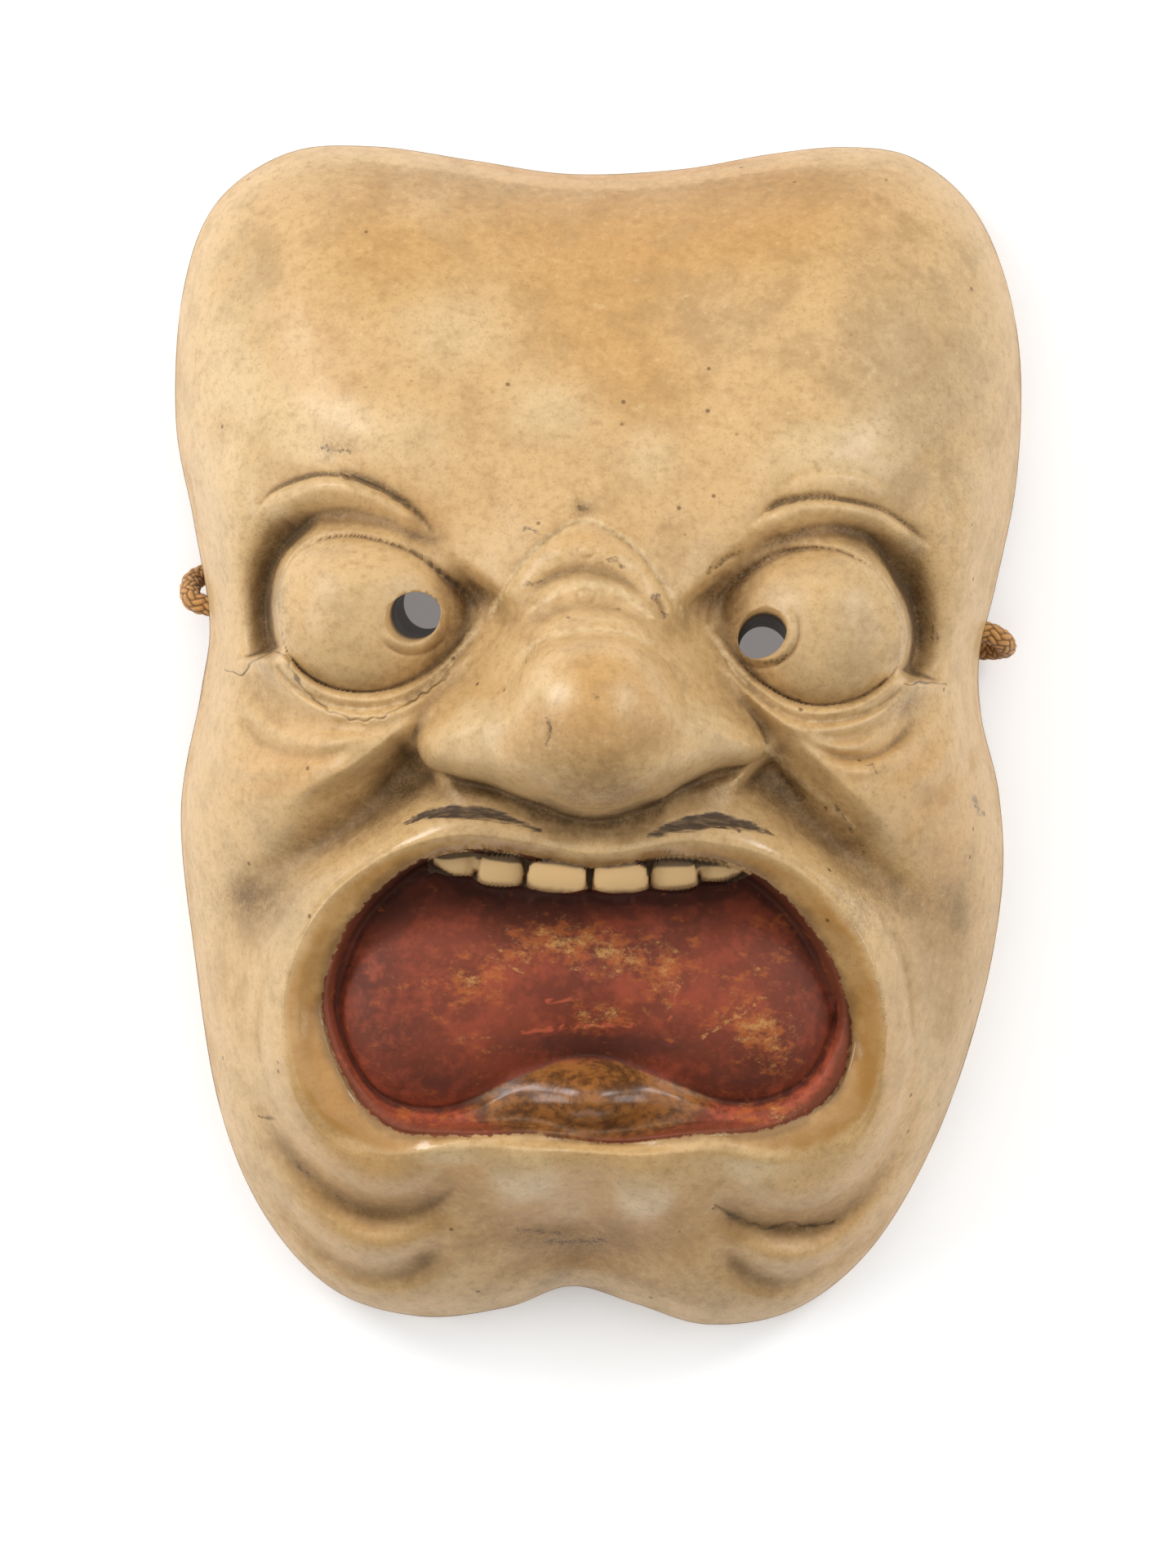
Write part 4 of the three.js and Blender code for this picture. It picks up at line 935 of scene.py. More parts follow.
def blurred(values, width):
    """Three running means along both ways of the grid: close to a bell-shaped blur."""
    for axis in (0, 1):
        for _ in range(3):
            padded = np.concatenate([np.take(values, [0] * (width + 1), axis), values,
                                     np.take(values, [-1] * width, axis)], axis)
            sums = np.cumsum(padded, axis)
            count = values.shape[axis]
            late = np.take(sums, np.arange(count) + 2 * width + 1, axis)
            values = (late - np.take(sums, np.arange(count), axis)) / (2 * width + 1)
    return values


def read_grid(values, x, y):
    """Undoes the bending of the grid, then reads between its four nearest places."""
    angle = np.arctan2(y, x)
    ring = 1 - (1 - np.clip(np.hypot(x, y) / reach_at(angle), 0, 1)) ** (1 / EDGE_CROWDING)
    quarter = np.round(angle / (math.pi / 2))
    lean = ring * (angle - quarter * math.pi / 2) * 4 / math.pi
    c, s = np.cos(quarter * math.pi / 2), np.sin(quarter * math.pi / 2)
    u = (ring * c - lean * s + 1) / 2 * (FINE[0] - 1)
    v = (ring * s + lean * c + 1) / 2 * (FINE[1] - 1)
    i = np.clip(u.astype(int), 0, FINE[0] - 2)
    j = np.clip(v.astype(int), 0, FINE[1] - 2)
    low = mix(values[i, j], values[i + 1, j], u - i)
    high = mix(values[i, j + 1], values[i + 1, j + 1], u - i)
    return mix(low, high, v - j)


points = np.empty(len(mask.data.vertices) * 3)
mask.data.vertices.foreach_get("co", points)
px, py, pz = (points.reshape(-1, 3) / MM).T
flat_z = np.minimum(grid_z, LEVELLED)
crease, groove, valley = (read_grid(blurred(flat_z, width) - flat_z, px, py) for width in BLURS)
sunk = read_grid(grid_z, px, py) - pz
print("creases", np.percentile(crease, [5, 50, 95]).round(2))
print("valleys", np.percentile(valley, [5, 95]).round(2))

# %% Attributes for the paint
# Each row of spots is a soft oval: its middle, its two radii and its strength.
# Grime spots sit in the sockets, the cheek grooves, under the nose and in the chin notch: partly grime,
# partly painted shade.
GRIME_AND_SHADE_SPOTS = [
    (-57.4, 24, 3.0, 11, 0.8), (54.8, 21, 2.8, 11, 0.75), (-52, 34, 6, 3, 0.5), (48, 32, 6, 3, 0.5),
    (-34, -8.4, 4, 4.4, 1.0), (-41, -13, 5, 4, 0.5), (-50, -19, 6, 4, 0.4), (-60, -28, 6, 4, 0.7),
    (31, -9, 4, 4.4, 1.0), (37.6, -14, 4, 4.4, 0.5), (44, -20, 4, 3.6, 0.6), (52, -27, 6, 5, 0.5),
    (62, -30, 4, 5, 0.4), (-22, -9.6, 7, 1.8, 0.7), (20, -8.4, 7, 1.8, 0.7), (-46, 49.6, 4, 1.8, 0.5),
    (53, 5, 2.4, 2.4, 0.6), (-4, -87.6, 12, 2.6, 0.6), (-4, -95, 9, 3, 0.4), (0, -11.4, 11, 1.8, 0.5),
    (-2, -5, 9, 5, 0.2), (-43, -65, 5, 4, 0.5), (44, -29, 4, 6, 0.5), (44, -65, 4, 3, 0.3),
    (-24, 20, 1.8, 3, 0.6), (23.4, 20, 1.8, 3, 0.5), (-3, 39, 2.4, 1.6, 0.7), (61, 48, 8, 14, 0.2),
]
SHADE_SPOTS = [
    (-27, 16.6, 3.6, 6, 0.8), (-38, 8.6, 11, 2.6, 0.5), (27, 12.4, 4, 5, 0.6), (25.4, 22, 3, 5, 0.6),
    (38, 6.6, 11, 2.6, 0.5), (-45, 36.6, 14, 2.2, 0.5), (40, 34.4, 13, 2.2, 0.5), (-24, 26, 3, 3, 0.3),
    (0, -15, 16, 4, 0.7), (-24, -10.6, 8, 3, 0.6), (22, -10, 8, 3, 0.6), (-22, -18, 18, 2.4, 0.3),
    (22, -17.4, 16, 2.4, 0.3), (-46, -17, 12, 4, 0.4), (42, -17, 10, 5, 0.35), (-58, -28, 8, 5, 0.5),
    (-62, 4, 4, 8, 0.3), (-2, -6, 12, 6, 0.5), (0, -10.6, 13, 3.4, 0.85), (-7, 1, 5, 6, 0.2),
    (-4, -88, 18, 5, 0.4), (4, -98, 30, 4, 0.6), (-34, -79, 9, 2.4, 0.4), (34, -81, 9, 2.4, 0.4),
    (62, -30, 5, 10, 0.6), (-61, -29, 5, 4, 0.4), (50, -30, 5, 8, 0.3), (0, 99, 50, 7, 0.9),
    (-44, 20, 12, 11, 0.2), (0, 47, 9, 5, 0.15), (-1, 28, 11, 11, 0.28), (-67, -50, 3, 16, 0.22),
]
LESS_GRIME_AND_SHADE_SPOTS = [(-1, 3, 24, 17, 1), (-17, 20, 5, 6, 1), (15, 20, 5, 6, 1)]
OCHRE_SPOTS = [
    (-34, -76, 14, 4, 1.0), (2, -87, 16, 6, 1.0), (-44, -64, 6, 6, 1.0), (60, -26, 8, 26, 0.9),
    (4, 96, 40, 6, 1.0), (5, 88, 30, 12, 1.0), (8, 62, 12, 14, 0.6), (-5, 70, 16, 12, 0.4),
    (0, 6, 13, 12, 0.9), (-52, -6, 9, 5, 0.9), (-20, 3, 8, 6, 0.5), (45, -6, 12, 5, 0.6),
    (-35, 85, 14, 10, 0.5), (0, -80, 20, 9, 0.9), (30, 90, 16, 8, 0.6), (-50, -60, 5, 14, 0.8),
    (48, -58, 5, 14, 0.8), (-45, 70, 12, 16, 0.3), (-30, 38, 8, 4, 0.5), (-40, -84, 18, 12, 0.7),
    (38, -84, 18, 12, 0.6), (0, 34, 10, 3, 0.6),
]
# Greyed spots: partly greyer paint, partly painted shade on the eyeballs and under the nose.
GREY_AND_SHADE_SPOTS = [
    (55, 60, 16, 26, 0.8), (-60, 80, 8, 12, 0.5), (-35, 20, 12, 10, 0.5), (40, 18, 12, 10, 0.7),
    (-55, -30, 12, 16, 0.7), (58, -40, 9, 26, 0.8), (-28, -92, 18, 5, 0.4), (25, -95, 18, 4, 0.4),
    (-57, -75, 7, 14, 0.5), (20, 72, 14, 10, 0.5), (0, 28, 9, 7, 0.5), (0, -17, 28, 4, 0.6),
]
# Pale spots: partly wear, partly painted highlights and sheen on the forehead, nose, wings, chin and lips.
RUB_AND_HIGHLIGHT_SPOTS = [
    (-25, 70, 12, 8, 0.8), (-8, 56, 7, 6, 0.9), (9, 48, 6, 6, 0.8), (-40, 54, 22, 8, 0.25),
    (-62, 60, 8, 24, 0.5), (42, 50, 14, 6, 0.4), (-20, 2, 8, 5, 0.6), (20, 3, 7, 5, 0.4),
    (-13, -76.4, 4.6, 3.6, 1.0), (8, -80, 4, 3.6, 1.0), (-30, 92, 18, 7, 0.3), (-7, 7.6, 4, 4, 0.8),
    (4, 6, 3, 5, 0.6), (-26, -72.4, 5, 1.4, 1.0), (26, -75.6, 5, 1.8, 1.0),
]
PALE_EDGES = [
    [(-19, 20.6), (-15.8, 26), (-11.6, 31.4), (-7.4, 35), (-3.2, 37.2), (1.8, 35.6), (7, 31.8),
     (11, 26.6), (14.4, 21)],
    [(-12, 21.4), (-7.6, 24.6), (-2, 25.9), (4.6, 24.2), (9, 20.4)],
    [(-13, 14.4), (-9.4, 17), (-3, 18), (4, 17.8), (9, 15.8)],
    [(-55, 13), (-50, 7.2), (-42, 4.6), (-33, 6.8), (-26, 12.4), (-20.4, 20.4)],
    [(19, 19), (23.6, 11.4), (31, 4.8), (40, 2.6), (48, 5.2)], [(28, -1), (36, -9), (44, -15.6)],
]
WEAR_SPOTS = [
    (-6, -35, 8, 4, 1.0), (3, -39, 7, 4, 0.8), (-22, -43, 6, 4, 0.9), (1, -48.6, 7, 2.6, 0.9),
    (12, -38, 5, 5, 0.5), (25, -49, 6, 6, 0.9), (12, -45, 3, 5, 0.6), (-20, -53, 4, 2, 0.8),
    (31, -54, 4, 6, 0.7), (-15, -39, 4, 4, 0.6), (-32, -66, 10, 2, 0.6), (30, -65.4, 10, 2, 0.6),
    (30, -37, 6, 6, 0.4), (-34, -44, 8, 8, 0.2),
]
# Dark spots in the red: partly dark paint, partly painted shade under the teeth and along the bean's lower
# edge.
DARK_AND_SHADE_SPOTS = [
    (0, -53.6, 20, 2.6, 0.9), (-26, -60, 10, 3, 0.6), (24, -59.6, 9, 3, 0.5), (-2, -29, 30, 4, 0.7),
    (36, -36, 5, 8, 0.6), (-10, -46, 8, 2.4, 0.4), (20, -42, 6, 4, 0.4), (-38, -30, 8, 5, 0.6),
]
SCRAPES = [
    [(-19.4, -33.4), (-18, -36), (-16, -39.5)], [(-13, -41), (-16, -39.5)],
    [(28, -46), (24, -48.5), (18, -52)], [(-24, -43.6), (-21, -41)],
]
RED_STRIPES = [
    [(-14, -51.6), (-7, -50.6), (0, -50.2), (6, -50.4)], [(12, -50), (13.4, -46), (14, -43)],
    [(-9, -46), (-4, -45.4)], [(4, -50), (6, -47.4)],
]
SCUFFS = [
    [(-48, 50), (-45.4, 49), (-43, 49.2)], [(-13.8, 35.2), (-12, 36), (-11, 35)],
    [(18.8, 28.2), (22, 30.6), (25, 32)], [(31.4, -6.4), (33, -8.4), (35, -11)],
    [(41, -12), (43, -15.6), (45.8, -19.6)], [(9.6, 24.2), (11.4, 20.6)], [(-0.8, 6.8), (-0.2, 6.4)],
    [(-8.8, 2.6), (-8.4, 0.4), (-9, -1.6)], [(57.8, 19), (58.4, 16.6)], [(-3.6, 39.4), (-2, 39)],
    [(46, -5), (48.4, -6.2)], [(27, 13), (30, 12.6), (32.6, 14)], [(-12.6, 26), (-10, 26.4)],
    [(2, 30.6), (4, 29.2)], [(2.6, 22.6), (3.6, 22)], [(-6, 20.6), (-5, 20.2)],
    [(64.6, -10), (66.6, -14)], [(-52.6, -74), (-50, -76.6)], [(-14, -85.6), (-6, -86.6)],
    [(-9, -88), (2, -87.6)], [(44, -17), (46, -20)],
]
FACE_END = 0.97  # past this share of the outline the wall begins
LINE_REACH = 4  # distances to thin lines are only kept up to here, in mm
EDGE_REACH = 12  # the same for distances to the edges of the mouth


def spotted(rows):
    """The sum of soft ovals, held below 1."""
    made = sum(row[4] * bell(oval(px, py, *row[:4])) for row in rows)
    return np.clip(made, 0, 1)


def store(piece, name, values):
    """Keeps one number for each point of the piece under a name."""
    attribute = piece.data.attributes.new(name, "FLOAT", "POINT")
    attribute.data.foreach_set("value", values.astype(np.float32))


def to_lines(lines, wobble):
    """Distance to the nearest of some lines, which wander a little to each side."""
    wx = px + wobble * waves(px, py, 2.4, 21)
    wy = py + wobble * waves(px, py, 2.1, 22)
    return np.minimum.reduce([np.abs(measure(wx, wy, smooth_line(line), 4.0)[0]) for line in lines])


on_face = np.hypot(px, py) / reach_at(np.arctan2(py, px)) < FACE_END
# Crease and hollow hold painted shade: darkening where the form lies lower than round it, lessened round the
# nose. The hollow also takes the shade spots, and the crease some grime.
less_grime_and_shade = 1 - 0.7 * spotted(LESS_GRIME_AND_SHADE_SPOTS)
store(mask, "crease", np.clip(crease, 0, 1) * less_grime_and_shade)
shade = 0.26 * groove * less_grime_and_shade + 0.06 * np.maximum(valley, 0) + 0.8 * spotted(SHADE_SPOTS)
store(mask, "hollow", np.clip(shade, 0, 1) * on_face)
store(mask, "rub_and_highlight", np.clip(spotted(RUB_AND_HIGHLIGHT_SPOTS) + np.clip(-1.2 * groove, 0, 0.4), 0, 1))
for name, rows in (("soil_and_shade", GRIME_AND_SHADE_SPOTS), ("dark_and_shade", DARK_AND_SHADE_SPOTS), ("ochre", OCHRE_SPOTS),
                   ("grey_and_shade", GREY_AND_SHADE_SPOTS), ("wear", WEAR_SPOTS)):
    store(mask, name, spotted(rows))
for name, lines, wobble in (("to_scuff", SCUFFS, 0.3), ("to_edge", PALE_EDGES, 0.12),
                            ("to_scrape", SCRAPES, 0.35), ("to_stripe", RED_STRIPES, 0.3)):
    store(mask, name, np.clip(to_lines(lines, wobble), 0, LINE_REACH))
for name, line in (("to_mouth", mouth_line), ("to_crest", crest_line), ("to_bean", bean_line)):
    store(mask, name, np.clip(depth_inside(px, py, line), -EDGE_REACH, EDGE_REACH))
store(mask, "to_crack", np.clip(to_cracks(px, py), 0, LINE_REACH))
store(mask, "sunk", np.clip(sunk, 0, LINE_REACH) * on_face)
store(mask, "ink", np.clip(in_moustache(px, py), -3, 3))
store(mask, "tongue", bell(oval(px, py, -2, -63, 23, 7.4) ** 3))
store(mask, "tooth", sum(bell(oval(px, py, *row[:2], row[2] * 1.35, row[3] * 1.1) ** 4) for row in TEETH))

# %% [markdown]
# ## Materials
# The paint is gofun: ground shell in hide glue, laid on in many thin coats and burnished. It gives a satin
# skin like eggshell, never fully matt. Age turned it from white to tan. One function turns the hex colours,
# which are how a screen shows them, to the linear values that light is summed in. One function adds a node.


# %% Colour and node helpers
def linear(code):
    """sRGB hex to linear: below 0.04045 divided by 12.92, else ((c + 0.055) / 1.055) to the power 2.4."""
    c = np.array([int(code[i:i + 2], 16) / 255 for i in (0, 2, 4)])
    c = np.where(c <= 0.04045, c / 12.92, ((c + 0.055) / 1.055) ** 2.4)
    return (*c.tolist(), 1.0)


def add(tree, kind, feeds=None, out=0, **settings):
    """Adds a node with its settings. A fed socket is linked or given a value. Returns one output."""
    node = tree.nodes.new(kind)
    for key, value in settings.items():
        setattr(node, key, value)
    for key, value in (feeds or {}).items():
        if isinstance(value, bpy.types.NodeSocket):
            tree.links.new(value, node.inputs[key])
        else:
            node.inputs[key].default_value = value
    return node.outputs[out]


def new_material(name):
    """A material with a Principled shader. Returns the material, its tree and the shader."""
    material = bpy.data.materials.new(name)
    material.use_nodes = True
    tree = material.node_tree
    return material, tree, tree.nodes["Principled BSDF"]


def per_metre(size):
    """A noise scale for blots of some size in millimetres."""
    return 1000.0 / size


# %% [markdown]
# The paint is built up much as it was on the mask: the warm ground, ochre and greyed areas, rubbed high
# places, grime in the hollows, then the red of the mouth with its worn places, and last the small dark specks
# and cracks. Painted shade goes in with the greyed areas, the grime and the hollows, and painted highlights
# with the rubbed places.

# %% Painted gesso
GESSO = linear("cda873")
OCHRE = linear("bd8a49")
GREYED_AND_SHADE = linear("ab916a")
RUBBED_AND_SHEEN = linear("dcc194")
TAN_SHADE = linear("9a7541")
BROWN_SHADE = linear("75562f")
GRIME_AND_SHADE = linear("46351f")
SPECK = linear("5f411f")

gesso, tree, shader = new_material("painted_gesso")
place = add(tree, "ShaderNodeTexCoord", out=3)
read = {attribute.name: add(tree, "ShaderNodeAttribute", out=2, attribute_name=attribute.name)
        for attribute in mask.data.attributes
        if attribute.data_type == "FLOAT" and attribute.domain == "POINT"}


def blots(size, detail=4.0, rough=0.55, vector=place):
    """Noise with blots of some size in millimetres."""
    feeds = {"Vector": vector, "Scale": per_metre(size), "Detail": detail, "Roughness": rough}
    return add(tree, "ShaderNodeTexNoise", feeds)


def ranged(value, low, high, to_low=0.0, to_high=1.0):
    """A smooth step of a socket between two values."""
    feeds = {0: value, 1: low, 2: high, 3: to_low, 4: to_high}
    return add(tree, "ShaderNodeMapRange", feeds, interpolation_type="SMOOTHSTEP")


def times(a, b, operation="MULTIPLY"):
    """One sum on two sockets or numbers."""
    return add(tree, "ShaderNodeMath", {0: a, 1: b}, operation=operation)


def laid(under, over, amount):
    """One colour laid over another."""
    return add(tree, "ShaderNodeMix", {0: amount, 6: under, 7: over}, out=2, data_type="RGBA")


def ragged(value, noise, reach):
    """A distance that noise pushes to and fro over a reach, so that its edge turns ragged."""
    return times(value, times(times(noise, 0.5, "SUBTRACT"), reach), "ADD")


broad = blots(26)
middle = blots(7, 5.0)
fine = blots(1.6, 6.0, 0.65)
dust = blots(0.5, 4.0, 0.6)

colour = laid(GESSO, OCHRE, times(ranged(times(read["ochre"], times(middle, 0.9), "ADD"), 0.35, 1.6), 0.7))
# Greyed areas, with painted shade on the eyeballs and under the nose.
colour = laid(colour, GREYED_AND_SHADE, times(ranged(times(read["grey_and_shade"], middle, "ADD"), 0.55, 1.35), 0.6))
# High places rubbed pale, and painted highlights and sheen on the forehead, nose, chin and lips.
colour = laid(colour, RUBBED_AND_SHEEN, times(ranged(times(read["rub_and_highlight"], times(middle, 0.8), "ADD"), 0.5, 1.4), 0.7))
colour = laid(colour, TAN_SHADE, ranged(middle, 0.42, 0.7, 0.0, 0.3))
colour = laid(colour, TAN_SHADE, ranged(fine, 0.45, 0.75, 0.0, 0.46))
colour = laid(colour, RUBBED_AND_SHEEN, ranged(fine, 0.46, 0.22, 0.0, 0.42))
colour = laid(colour, TAN_SHADE, ranged(dust, 0.5, 0.8, 0.0, 0.5))
# Painted shade: brown laid in the hollows and on the shade spots.
colour = laid(colour, BROWN_SHADE, times(read["hollow"], ranged(fine, 0.3, 0.65, 0.5, 0.8)))
# Grime spots, partly grime and partly painted shade in the sockets, grooves and under the nose.
soil_and_shade = times(read["soil_and_shade"], ranged(times(middle, dust, "ADD"), 0.7, 1.25))
colour = laid(colour, GRIME_AND_SHADE, times(soil_and_shade, 0.72))
# Painted shade and grime in the creases: brown, then near black where the noise allows.
colour = laid(colour, BROWN_SHADE, ranged(read["crease"], 0.05, 0.6, 0.0, 0.5))
crease_grime_and_shade = times(read["crease"], ranged(times(middle, dust, "ADD"), 0.75, 1.2, 0.3, 1.3))
colour = laid(colour, GRIME_AND_SHADE, ranged(crease_grime_and_shade, 0.25, 1.0, 0.0, 0.6))
edge = ranged(ragged(read["to_edge"], fine, 1.0), 0.9, 0.15)
colour = laid(colour, RUBBED_AND_SHEEN, times(edge, ranged(fine, 0.3, 0.6, 0.6, 0.2)))

# %% [markdown]
# The mouth was painted red with cinnabar over a dark ground, and its middle has worn through to the wood in
# fine tan scuffs. The red is brightest on the ledge. The band round it was left brown and shines like
# lacquer. Painted shade darkens the red under the teeth, on the wall of the mouth, in its creases
# and along the lower edge of the bean.

# %% Red of the mouth, gold of the lips and the teeth
RED = linear("92432c")
DEEP_RED = linear("5a2a1b")
NEAR_BLACK_RED = linear("38190f")
DARK_AND_SHADE_RED = linear("4c2a22")
BRIGHT_RED = linear("b4563a")
BROWN_RED = linear("6d3b25")
RUST = linear("b0602c")
WORN = linear("bb8a50")
LIP_GOLD = linear("ad7b3b")
LIP_DARK = linear("66513a")
TONGUE_GOLD = linear("96632f")
TONGUE_DARK = linear("54371c")
TOOTH = linear("c6a473")

to_red = ragged(read["to_mouth"], fine, 2.4)
in_red = ranged(to_red, -0.12, 0.12)
lip = times(ranged(read["to_crest"], -0.2, 1.6), ranged(read["to_mouth"], 1.0, 0.0))
colour = laid(colour, LIP_GOLD, times(lip, ranged(middle, 0.25, 0.75, 0.4, 0.85)))
fringe = times(lip, ranged(ragged(read["to_mouth"], middle, 5.0), -2.2, -0.1))
colour = laid(colour, LIP_DARK, times(fringe, 0.5))

patchy = times(times(times(middle, 0.5), times(broad, 0.4), "ADD"), times(fine, 0.25), "ADD")
red = laid(RED, DEEP_RED, ranged(patchy, 0.45, 0.68))
red = laid(red, BRIGHT_RED, times(ranged(times(middle, times(fine, 0.5), "ADD"), 0.74, 1.0), 0.5))
# Darker red, partly painted shade under the teeth and along the lower edge of the bean.
dark_and_shade = ranged(times(read["dark_and_shade"], times(fine, 0.6), "ADD"), 0.35, 1.2)
red = laid(red, DARK_AND_SHADE_RED, times(dark_and_shade, 0.75))
rim = ranged(ragged(read["to_bean"], middle, 4.0), 0.2, -1.4)
red = laid(red, BRIGHT_RED, times(rim, ranged(times(middle, fine, "ADD"), 0.85, 1.15, 0.65, 0.1)))
# Painted shade: the red turns brown along its edge, on the steep wall of the mouth.
red = laid(red, BROWN_RED, ranged(ragged(read["to_mouth"], middle, 6.0), 3.0, 0.4, 0.0, 0.8))
# Painted shade: near black in the creases of the red, and towards the top of the mouth under the teeth.
red = laid(red, NEAR_BLACK_RED, ranged(read["crease"], 0.2, 0.8, 0.0, 0.6))
high = add(tree, "ShaderNodeSeparateXYZ", {0: place}, out=1)
red = laid(red, NEAR_BLACK_RED, ranged(times(high, times(middle, 0.01), "ADD"), -0.031, -0.018, 0.0, 0.6))
stretched = add(tree, "ShaderNodeMapping", {0: place, 2: (0, 0, 0.5), 3: (0.7, 1.0, 1.0)})
scuffs = blots(2.2, 9.0, 0.85, stretched)
worn = ranged(times(scuffs, times(read["wear"], 0.16), "ADD"), 0.62, 0.76)
orange = ranged(times(blots(2.4, 6.0, 0.7, stretched), times(read["wear"], 0.2), "ADD"), 0.58, 0.75)
red = laid(red, BRIGHT_RED, times(ranged(read["to_stripe"], 0.5, 0.2), 0.8))
red = laid(red, RUST, times(orange, 0.6))
red = laid(red, WORN, times(worn, 0.85))
red = laid(red, WORN, times(ranged(ragged(read["to_scrape"], dust, 0.8), 0.45, 0.2), 0.6))
tongue = times(read["tongue"], ranged(read["to_bean"], 0.8, -0.4))
spittle = laid(TONGUE_GOLD, TONGUE_DARK, ranged(times(times(middle, fine, "ADD"), 0.5), 0.4, 0.6))
red = laid(red, spittle, ranged(tongue, 0.3, 0.8, 0.0, 0.9))
is_tooth = times(ranged(read["tooth"], 0.42, 0.5), in_red)
colour = laid(colour, red, in_red)
colour = laid(colour, laid(TOOTH, LIP_DARK, ranged(read["crease"], 0.1, 0.6)), is_tooth)

# %% Specks, cracks, ink and dark hole walls
INK = linear("3a2a1e")
HOLE_WALL_DARK = linear("1e1711")
PIT_GAP = 5.0

cells = {"Vector": place, "Scale": per_metre(PIT_GAP)}
to_pit = add(tree, "ShaderNodeTexVoronoi", cells)
pit_kind = add(tree, "ShaderNodeSeparateColor", {0: add(tree, "ShaderNodeTexVoronoi", cells, out=1)})
pits = times(ranged(to_pit, 0.11, 0.05), ranged(pit_kind, 0.72, 0.76))
specks = times(ranged(dust, 0.68, 0.78), ranged(broad, 0.4, 0.6))
specks = times(specks, pits, "MAXIMUM")
colour = laid(colour, SPECK, times(specks, times(0.75, times(in_red, 0.7), "SUBTRACT")))
scuff = ranged(ragged(read["to_scuff"], fine, 2.2), 0.6, 0.1)
colour = laid(colour, GRIME_AND_SHADE, times(scuff, ranged(dust, 0.35, 0.65, 0.2, 0.8)))
crack = ranged(ragged(read["to_crack"], fine, 0.5), 0.24, 0.08)
colour = laid(colour, GRIME_AND_SHADE, times(crack, ranged(middle, 0.35, 0.6, 0.25, 0.7)))
strokes = blots(0.8, 3.0, 0.6, add(tree, "ShaderNodeMapping", {0: place, 2: (0, 0, 0.9), 3: (0.2, 1.0, 1.0)}))
ink = times(ranged(ragged(read["ink"], strokes, 1.6), -0.3, 0.3), ranged(strokes, 0.3, 0.6, 0.7, 0.95))
colour = laid(colour, INK, ink)
# The walls of the drilled holes are laid near black, the more so the deeper they lie under the face.
colour = laid(colour, HOLE_WALL_DARK, ranged(read["sunk"], 0.6, 1.6, 0.0, 0.95))
tree.links.new(colour, shader.inputs["Base Color"])

on_tongue = ranged(tongue, 0.3, 0.8)
in_ink = ranged(read["ink"], -0.3, 0.3)
wet = times(ranged(read["to_crest"], -3.0, -0.6), ranged(read["to_mouth"], 1.0, 0.0))
gloss = ranged(middle, 0.3, 0.7, 0.4, 0.52)
for share, roughness in (
    (times(read["rub_and_highlight"], 0.8), 0.28),
    (ranged(read["hollow"], 0.1, 0.7), 0.6),
    (wet, 0.16),
    (in_red, ranged(worn, 0.0, 1.0, 0.5, 0.7)),
    (times(on_tongue, in_red), 0.26),
    (in_ink, 0.75),
    (read["crease"], 0.7),
):
    gloss = add(tree, "ShaderNodeMix", {0: share, 2: gloss, 3: roughness})
tree.links.new(gloss, shader.inputs["Roughness"])
height = times(times(fine, 0.6), times(dust, 0.3), "ADD")
height = times(height, times(in_ink, times(dust, 1.5)), "ADD")
bump = add(tree, "ShaderNodeBump", {"Strength": 0.6, "Distance": 0.08 * MM, "Height": height})
tree.links.new(bump, shader.inputs["Normal"])
dull = times(in_red, times(1.0, times(on_tongue, 0.9), "SUBTRACT"))
tree.links.new(ranged(dull, 0.0, 1.0, 0.5, 0.25), shader.inputs["Specular IOR Level"])
shader.inputs["IOR"].default_value = 1.5
mask.data.materials.append(gesso)

# %% [markdown]
# ## Bare wood
# The back of such a mask is cypress, oiled brown by skin and breath. The grain runs up and down, as the block
# was split, so a noise is stretched along Y. Its lines are 1.2 mm apart, twice the real spacing, to be seen.

# %% Bare wood
WOOD = linear("8a6238")
WOOD_DARK = linear("553719")
GRAIN = 1.2

cypress, tree, shader = new_material("bare_cypress")
place = add(tree, "ShaderNodeTexCoord", out=3)
stretched = add(tree, "ShaderNodeMapping", {0: place, 3: (1.0, 0.06, 1.0)})
grain = blots(GRAIN, 4.0, 0.6, stretched)
stain = blots(20, 4.0, 0.5, place)
colour = laid(WOOD, WOOD_DARK, ranged(grain, 0.4, 0.68, 0.0, 0.8))
colour = laid(colour, WOOD_DARK, ranged(stain, 0.45, 0.7, 0.0, 0.7))
tree.links.new(colour, shader.inputs["Base Color"])
bump = add(tree, "ShaderNodeBump", {"Strength": 0.5, "Distance": 0.15 * MM, "Height": grain})
tree.links.new(bump, shader.inputs["Normal"])
shader.inputs["Roughness"].default_value = 0.55
mask.data.materials.append(cypress)

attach(mask, "root")
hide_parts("mask")

# %% [markdown]
# ## Cord and knots
# A braid runs from a knot inside one wall, out through its hole, tight round the rim, across the hollow and
# back in on the other side. A braid is a tube whose skin rises where a strand passes over. Here two sets of
# spirals cross, and the higher one shows, so the strands read as woven without a mesh for each thread.

